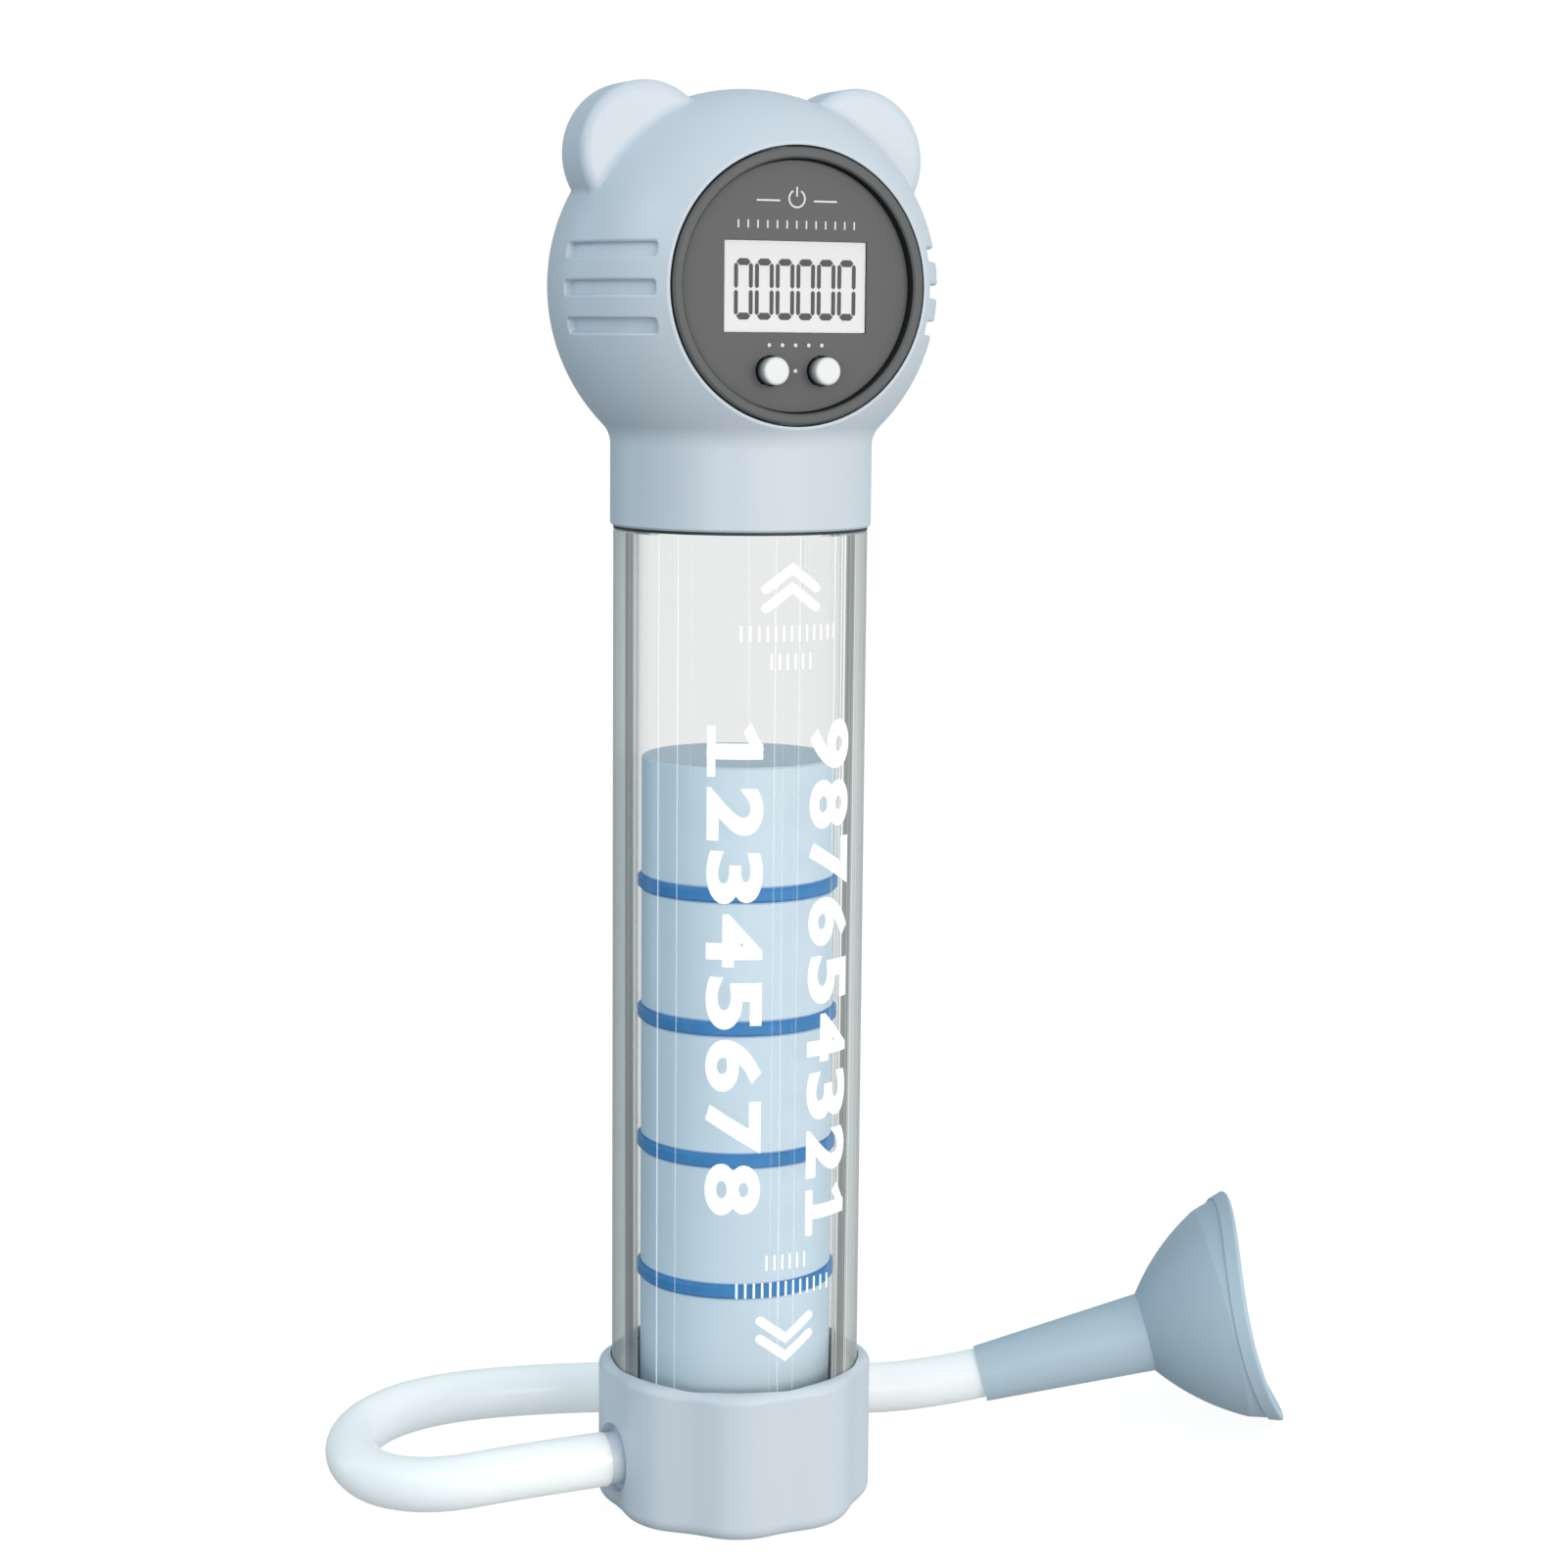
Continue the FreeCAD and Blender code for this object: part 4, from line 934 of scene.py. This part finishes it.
class TRAINER_OT_tube_prints(bpy.types.Operator):
    """Print the chevrons, the ticks and the plain numbers on the tube"""
    bl_idname = "trainer.tube_prints"
    bl_label = "Tube prints"

    def chevron(self):
        """One chevron that points up, its tip at the origin's height."""
        reach = CHEVRON_WIDTH / 2 - CHEVRON_STROKE * 0.4
        angle = math.atan2(CHEVRON_RISE, reach)
        length = math.hypot(CHEVRON_RISE, reach) * 2 + CHEVRON_STROKE
        arm = turned_flat(bar("arm", length, CHEVRON_STROKE), -angle)
        edit(arm, lambda: bpy.ops.mesh.bisect(
            plane_co=(0, 0, 0), plane_no=(1, 0, 0), clear_inner=True))
        modify(arm, 'MIRROR', use_axis=(True, False, False), use_mirror_merge=True,
               merge_threshold=0.01 * MM)
        edit(arm, lambda: bpy.ops.mesh.normals_make_consistent(inside=False))
        return moved(arm, (0, -CHEVRON_STROKE / 2 / math.cos(angle), 0))

    def figure_one(self):
        """The number one: a stem, a slanting flag and a foot."""
        stem, flag, foot = [bar("bar", length, width, rounding=0.05, steps=1)
                            for length, width in (ONE_STEM, ONE_FLAG, ONE_FOOT)]
        turned_flat(stem, math.radians(90))
        turned_flat(flag, ONE_FLAG_TURN)
        moved(flag, ONE_FLAG_PLACE)
        moved(foot, ONE_FOOT_PLACE)
        return joined("figure_one", [stem, flag, foot])

    def figure(self, digit):
        """A plain number as a flat drawing."""
        if digit == "1":
            return self.figure_one()
        bpy.ops.object.select_all(action='DESELECT')
        bpy.ops.object.text_add()
        piece = bpy.context.active_object
        piece.data.body = digit
        piece.data.size = 1
        piece.data.offset = 0.035
        piece.data.resolution_u = 6
        bpy.ops.object.convert(target='MESH')
        return piece

    def numbers(self, name, text, bottom):
        """The numbers, one below the other, each turned a quarter to the right."""
        pitch = (COLUMN_TOP_Z - bottom) / len(text)
        pieces = []
        for index, digit in enumerate(text):
            piece = self.figure(digit)
            xs = [vertex.co.x for vertex in piece.data.vertices]
            ys = [vertex.co.y for vertex in piece.data.vertices]
            scale = COLUMN_WIDTH / (max(ys) - min(ys))
            width = (pitch - NUMBER_GAP) / (max(xs) - min(xs))
            piece.location = (-(max(xs) + min(xs)) / 2 * width, -(max(ys) + min(ys)) / 2 * scale, 0)
            piece.scale = (width, scale, 1)
            settle(piece)
            turned_flat(piece, math.radians(-90))
            pieces.append(moved(piece, (0, -pitch * (index + 0.5), 0)))
        return joined(name, pieces)

    def ticks(self, name, counts):
        """Rows of fine upright ticks, one below the other."""
        tick = turned_flat(bar("tick", TICK_HEIGHT, TICK_WIDTH), math.radians(90))
        pieces = []
        for row, count in enumerate(counts):
            for step in spread(count):
                pieces.append(copied(tick, (step * TICK_PITCH, -row * TICK_ROW, 0)))
        bpy.data.objects.remove(tick)
        return joined(name, pieces)

    def execute(self, context):
        settings = context.scene.trainer
        # The white ink's glow of 0.15 is painted light that keeps the prints flat white
        ink = printed_ink("white_ink", settings.ink_colour, 0.15)
        upper = self.chevron()
        lower = copied(upper, (0, -CHEVRON_STEP, 0))
        up_pair = joined("chevrons_up", [upper, lower])
        down_pair = turned_flat(copied(up_pair, (0, 0, 0)), math.radians(180))
        named(down_pair, "chevrons_down")
        prints = [
            wrapped(up_pair, CHEVRON_TOP_Z, 0),
            wrapped(down_pair, CHEVRON_BOTTOM_Z, 0),
            wrapped(self.ticks("ticks_up", TICKS_UP_COUNTS), TICKS_UP_Z, 0),
            wrapped(self.ticks("ticks_down", TICKS_DOWN_COUNTS), TICKS_DOWN_Z, 0),
            wrapped(self.numbers("tube_numbers", settings.left_digits, COLUMN_BOTTOM_Z),
                    COLUMN_TOP_Z, COLUMN_TURN_LEFT),
            wrapped(self.numbers("tube_numbers_right", settings.right_digits,
                                 COLUMN_BOTTOM_RIGHT_Z), COLUMN_TOP_Z, COLUMN_TURN_RIGHT),
        ]
        for piece in prints:
            painted(piece, ink, "tube")
            piece.visible_shadow = False
        return {'FINISHED'}


class TRAINER_OT_stage(bpy.types.Operator):
    """Set up the pale floor, the soft lights and the white surround"""
    bl_idname = "trainer.stage"
    bl_label = "Stage"

    def light(self, name, place, size, power, colour):
        """One soft light, aimed at the tube's middle."""
        spot = beside_camera(*place)
        aim = (Vector(LIGHT_AIM) - spot).to_track_quat('-Z', 'Y').to_euler()
        bpy.ops.object.light_add(type='AREA', location=spot, rotation=aim)
        lamp = bpy.context.active_object
        lamp.name = name
        lamp.data.shape = 'RECTANGLE'
        lamp.data.size, lamp.data.size_y = size
        lamp.data.energy = power
        lamp.data.color = colour

    def floor(self):
        """A wide pale floor."""
        floor = primitive("plane", "floor", size=FLOOR_SIZE)
        finish = Finish("pale_floor")
        clouds = finish.noise(3, 2)
        shade = finish.blend(clouds, (0.11, 0.11, 0.11, 1), (0.13, 0.13, 0.13, 1))
        floor.data.materials.append(finish.done(finish.plastic(
            Base_Color=shade, Roughness=0.8, Emission_Color=(1, 1, 1, 1), Emission_Strength=FLOOR_GLOW)))
        floor.visible_diffuse = False
        floor.visible_glossy = False

    def surround(self, context):
        """A white surround that lights less than it shows."""
        world = bpy.data.worlds.new("white_surround")
        world.use_nodes = True
        context.scene.world = world
        tree = world.node_tree
        tree.nodes.clear()
        seen = tree.nodes.new("ShaderNodeLightPath").outputs["Is Camera Ray"]
        place = tree.nodes.new("ShaderNodeTexCoord").outputs["Generated"]
        slope = tree.nodes.new("ShaderNodeVectorMath")
        slope.operation = 'DOT_PRODUCT'
        slope.inputs[1].default_value = beside_camera(*SKY_SLOPE)
        level = tree.nodes.new("ShaderNodeMath")
        level.operation = 'ADD'
        level.inputs[1].default_value = SKY_LEVEL
        strength = tree.nodes.new("ShaderNodeMapRange")
        strength.inputs["To Max"].default_value = 1.0
        colour = tree.nodes.new("ShaderNodeMix")
        colour.data_type = 'RGBA'
        colour.inputs[6].default_value = SKY_COLOUR
        colour.inputs[7].default_value = (1, 1, 1, 1)
        white = tree.nodes.new("ShaderNodeBackground")
        output = tree.nodes.new("ShaderNodeOutputWorld")
        for start, end in (
                (place, slope.inputs[0]), (slope.outputs["Value"], level.inputs[0]),
                (level.outputs[0], strength.inputs["To Min"]), (seen, strength.inputs["Value"]),
                (strength.outputs["Result"], white.inputs["Strength"]),
                (seen, colour.inputs["Factor"]), (colour.outputs[2], white.inputs["Color"]),
                (white.outputs["Background"], output.inputs["Surface"])):
            tree.links.new(start, end)

    def execute(self, context):
        self.floor()
        self.surround(context)
        for light in LIGHTS:
            self.light(*light)
        context.scene.view_settings.view_transform = 'Standard'
        return {'FINISHED'}


class TRAINER_PT_panel(bpy.types.Panel):
    """The trainer's sizes, colours and steps"""
    bl_idname = "TRAINER_PT_panel"
    bl_label = "Breathing trainer"
    bl_space_type = 'VIEW_3D'
    bl_region_type = 'UI'
    bl_category = "Trainer"

    def draw(self, context):
        column = self.layout.column()
        for name in TrainerSettings.__annotations__:
            column.prop(context.scene.trainer, name)
        for step in STEPS:
            column.operator(step.bl_idname)


STEPS = (
    TRAINER_OT_camera,
    TRAINER_OT_hose,
    TRAINER_OT_stage,
    TRAINER_OT_housing,
    TRAINER_OT_mouth_cup,
    TRAINER_OT_tube,
    TRAINER_OT_piston,
    TRAINER_OT_counter,
    TRAINER_OT_inner_parts,
    TRAINER_OT_display_figures,
    TRAINER_OT_panel_marks,
    TRAINER_OT_tube_prints,
)
CLASSES = (TrainerSettings, *STEPS, TRAINER_PT_panel)


def register():
    for kind in CLASSES:
        bpy.utils.register_class(kind)
    bpy.types.Scene.trainer = bpy.props.PointerProperty(type=TrainerSettings)


def unregister():
    del bpy.types.Scene.trainer
    for kind in reversed(CLASSES):
        bpy.utils.unregister_class(kind)


def main():
    """Register the add-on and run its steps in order."""
    register()
    bpy.ops.trainer.camera()
    bpy.ops.trainer.hose()
    bpy.ops.trainer.stage()
    bpy.ops.trainer.housing()
    bpy.ops.trainer.mouth_cup()
    bpy.ops.trainer.tube()
    bpy.ops.trainer.piston()
    bpy.ops.trainer.counter()
    bpy.ops.trainer.inner_parts()
    bpy.ops.trainer.display_figures()
    bpy.ops.trainer.panel_marks()
    bpy.ops.trainer.tube_prints()


if __name__ == "__main__":
    main()
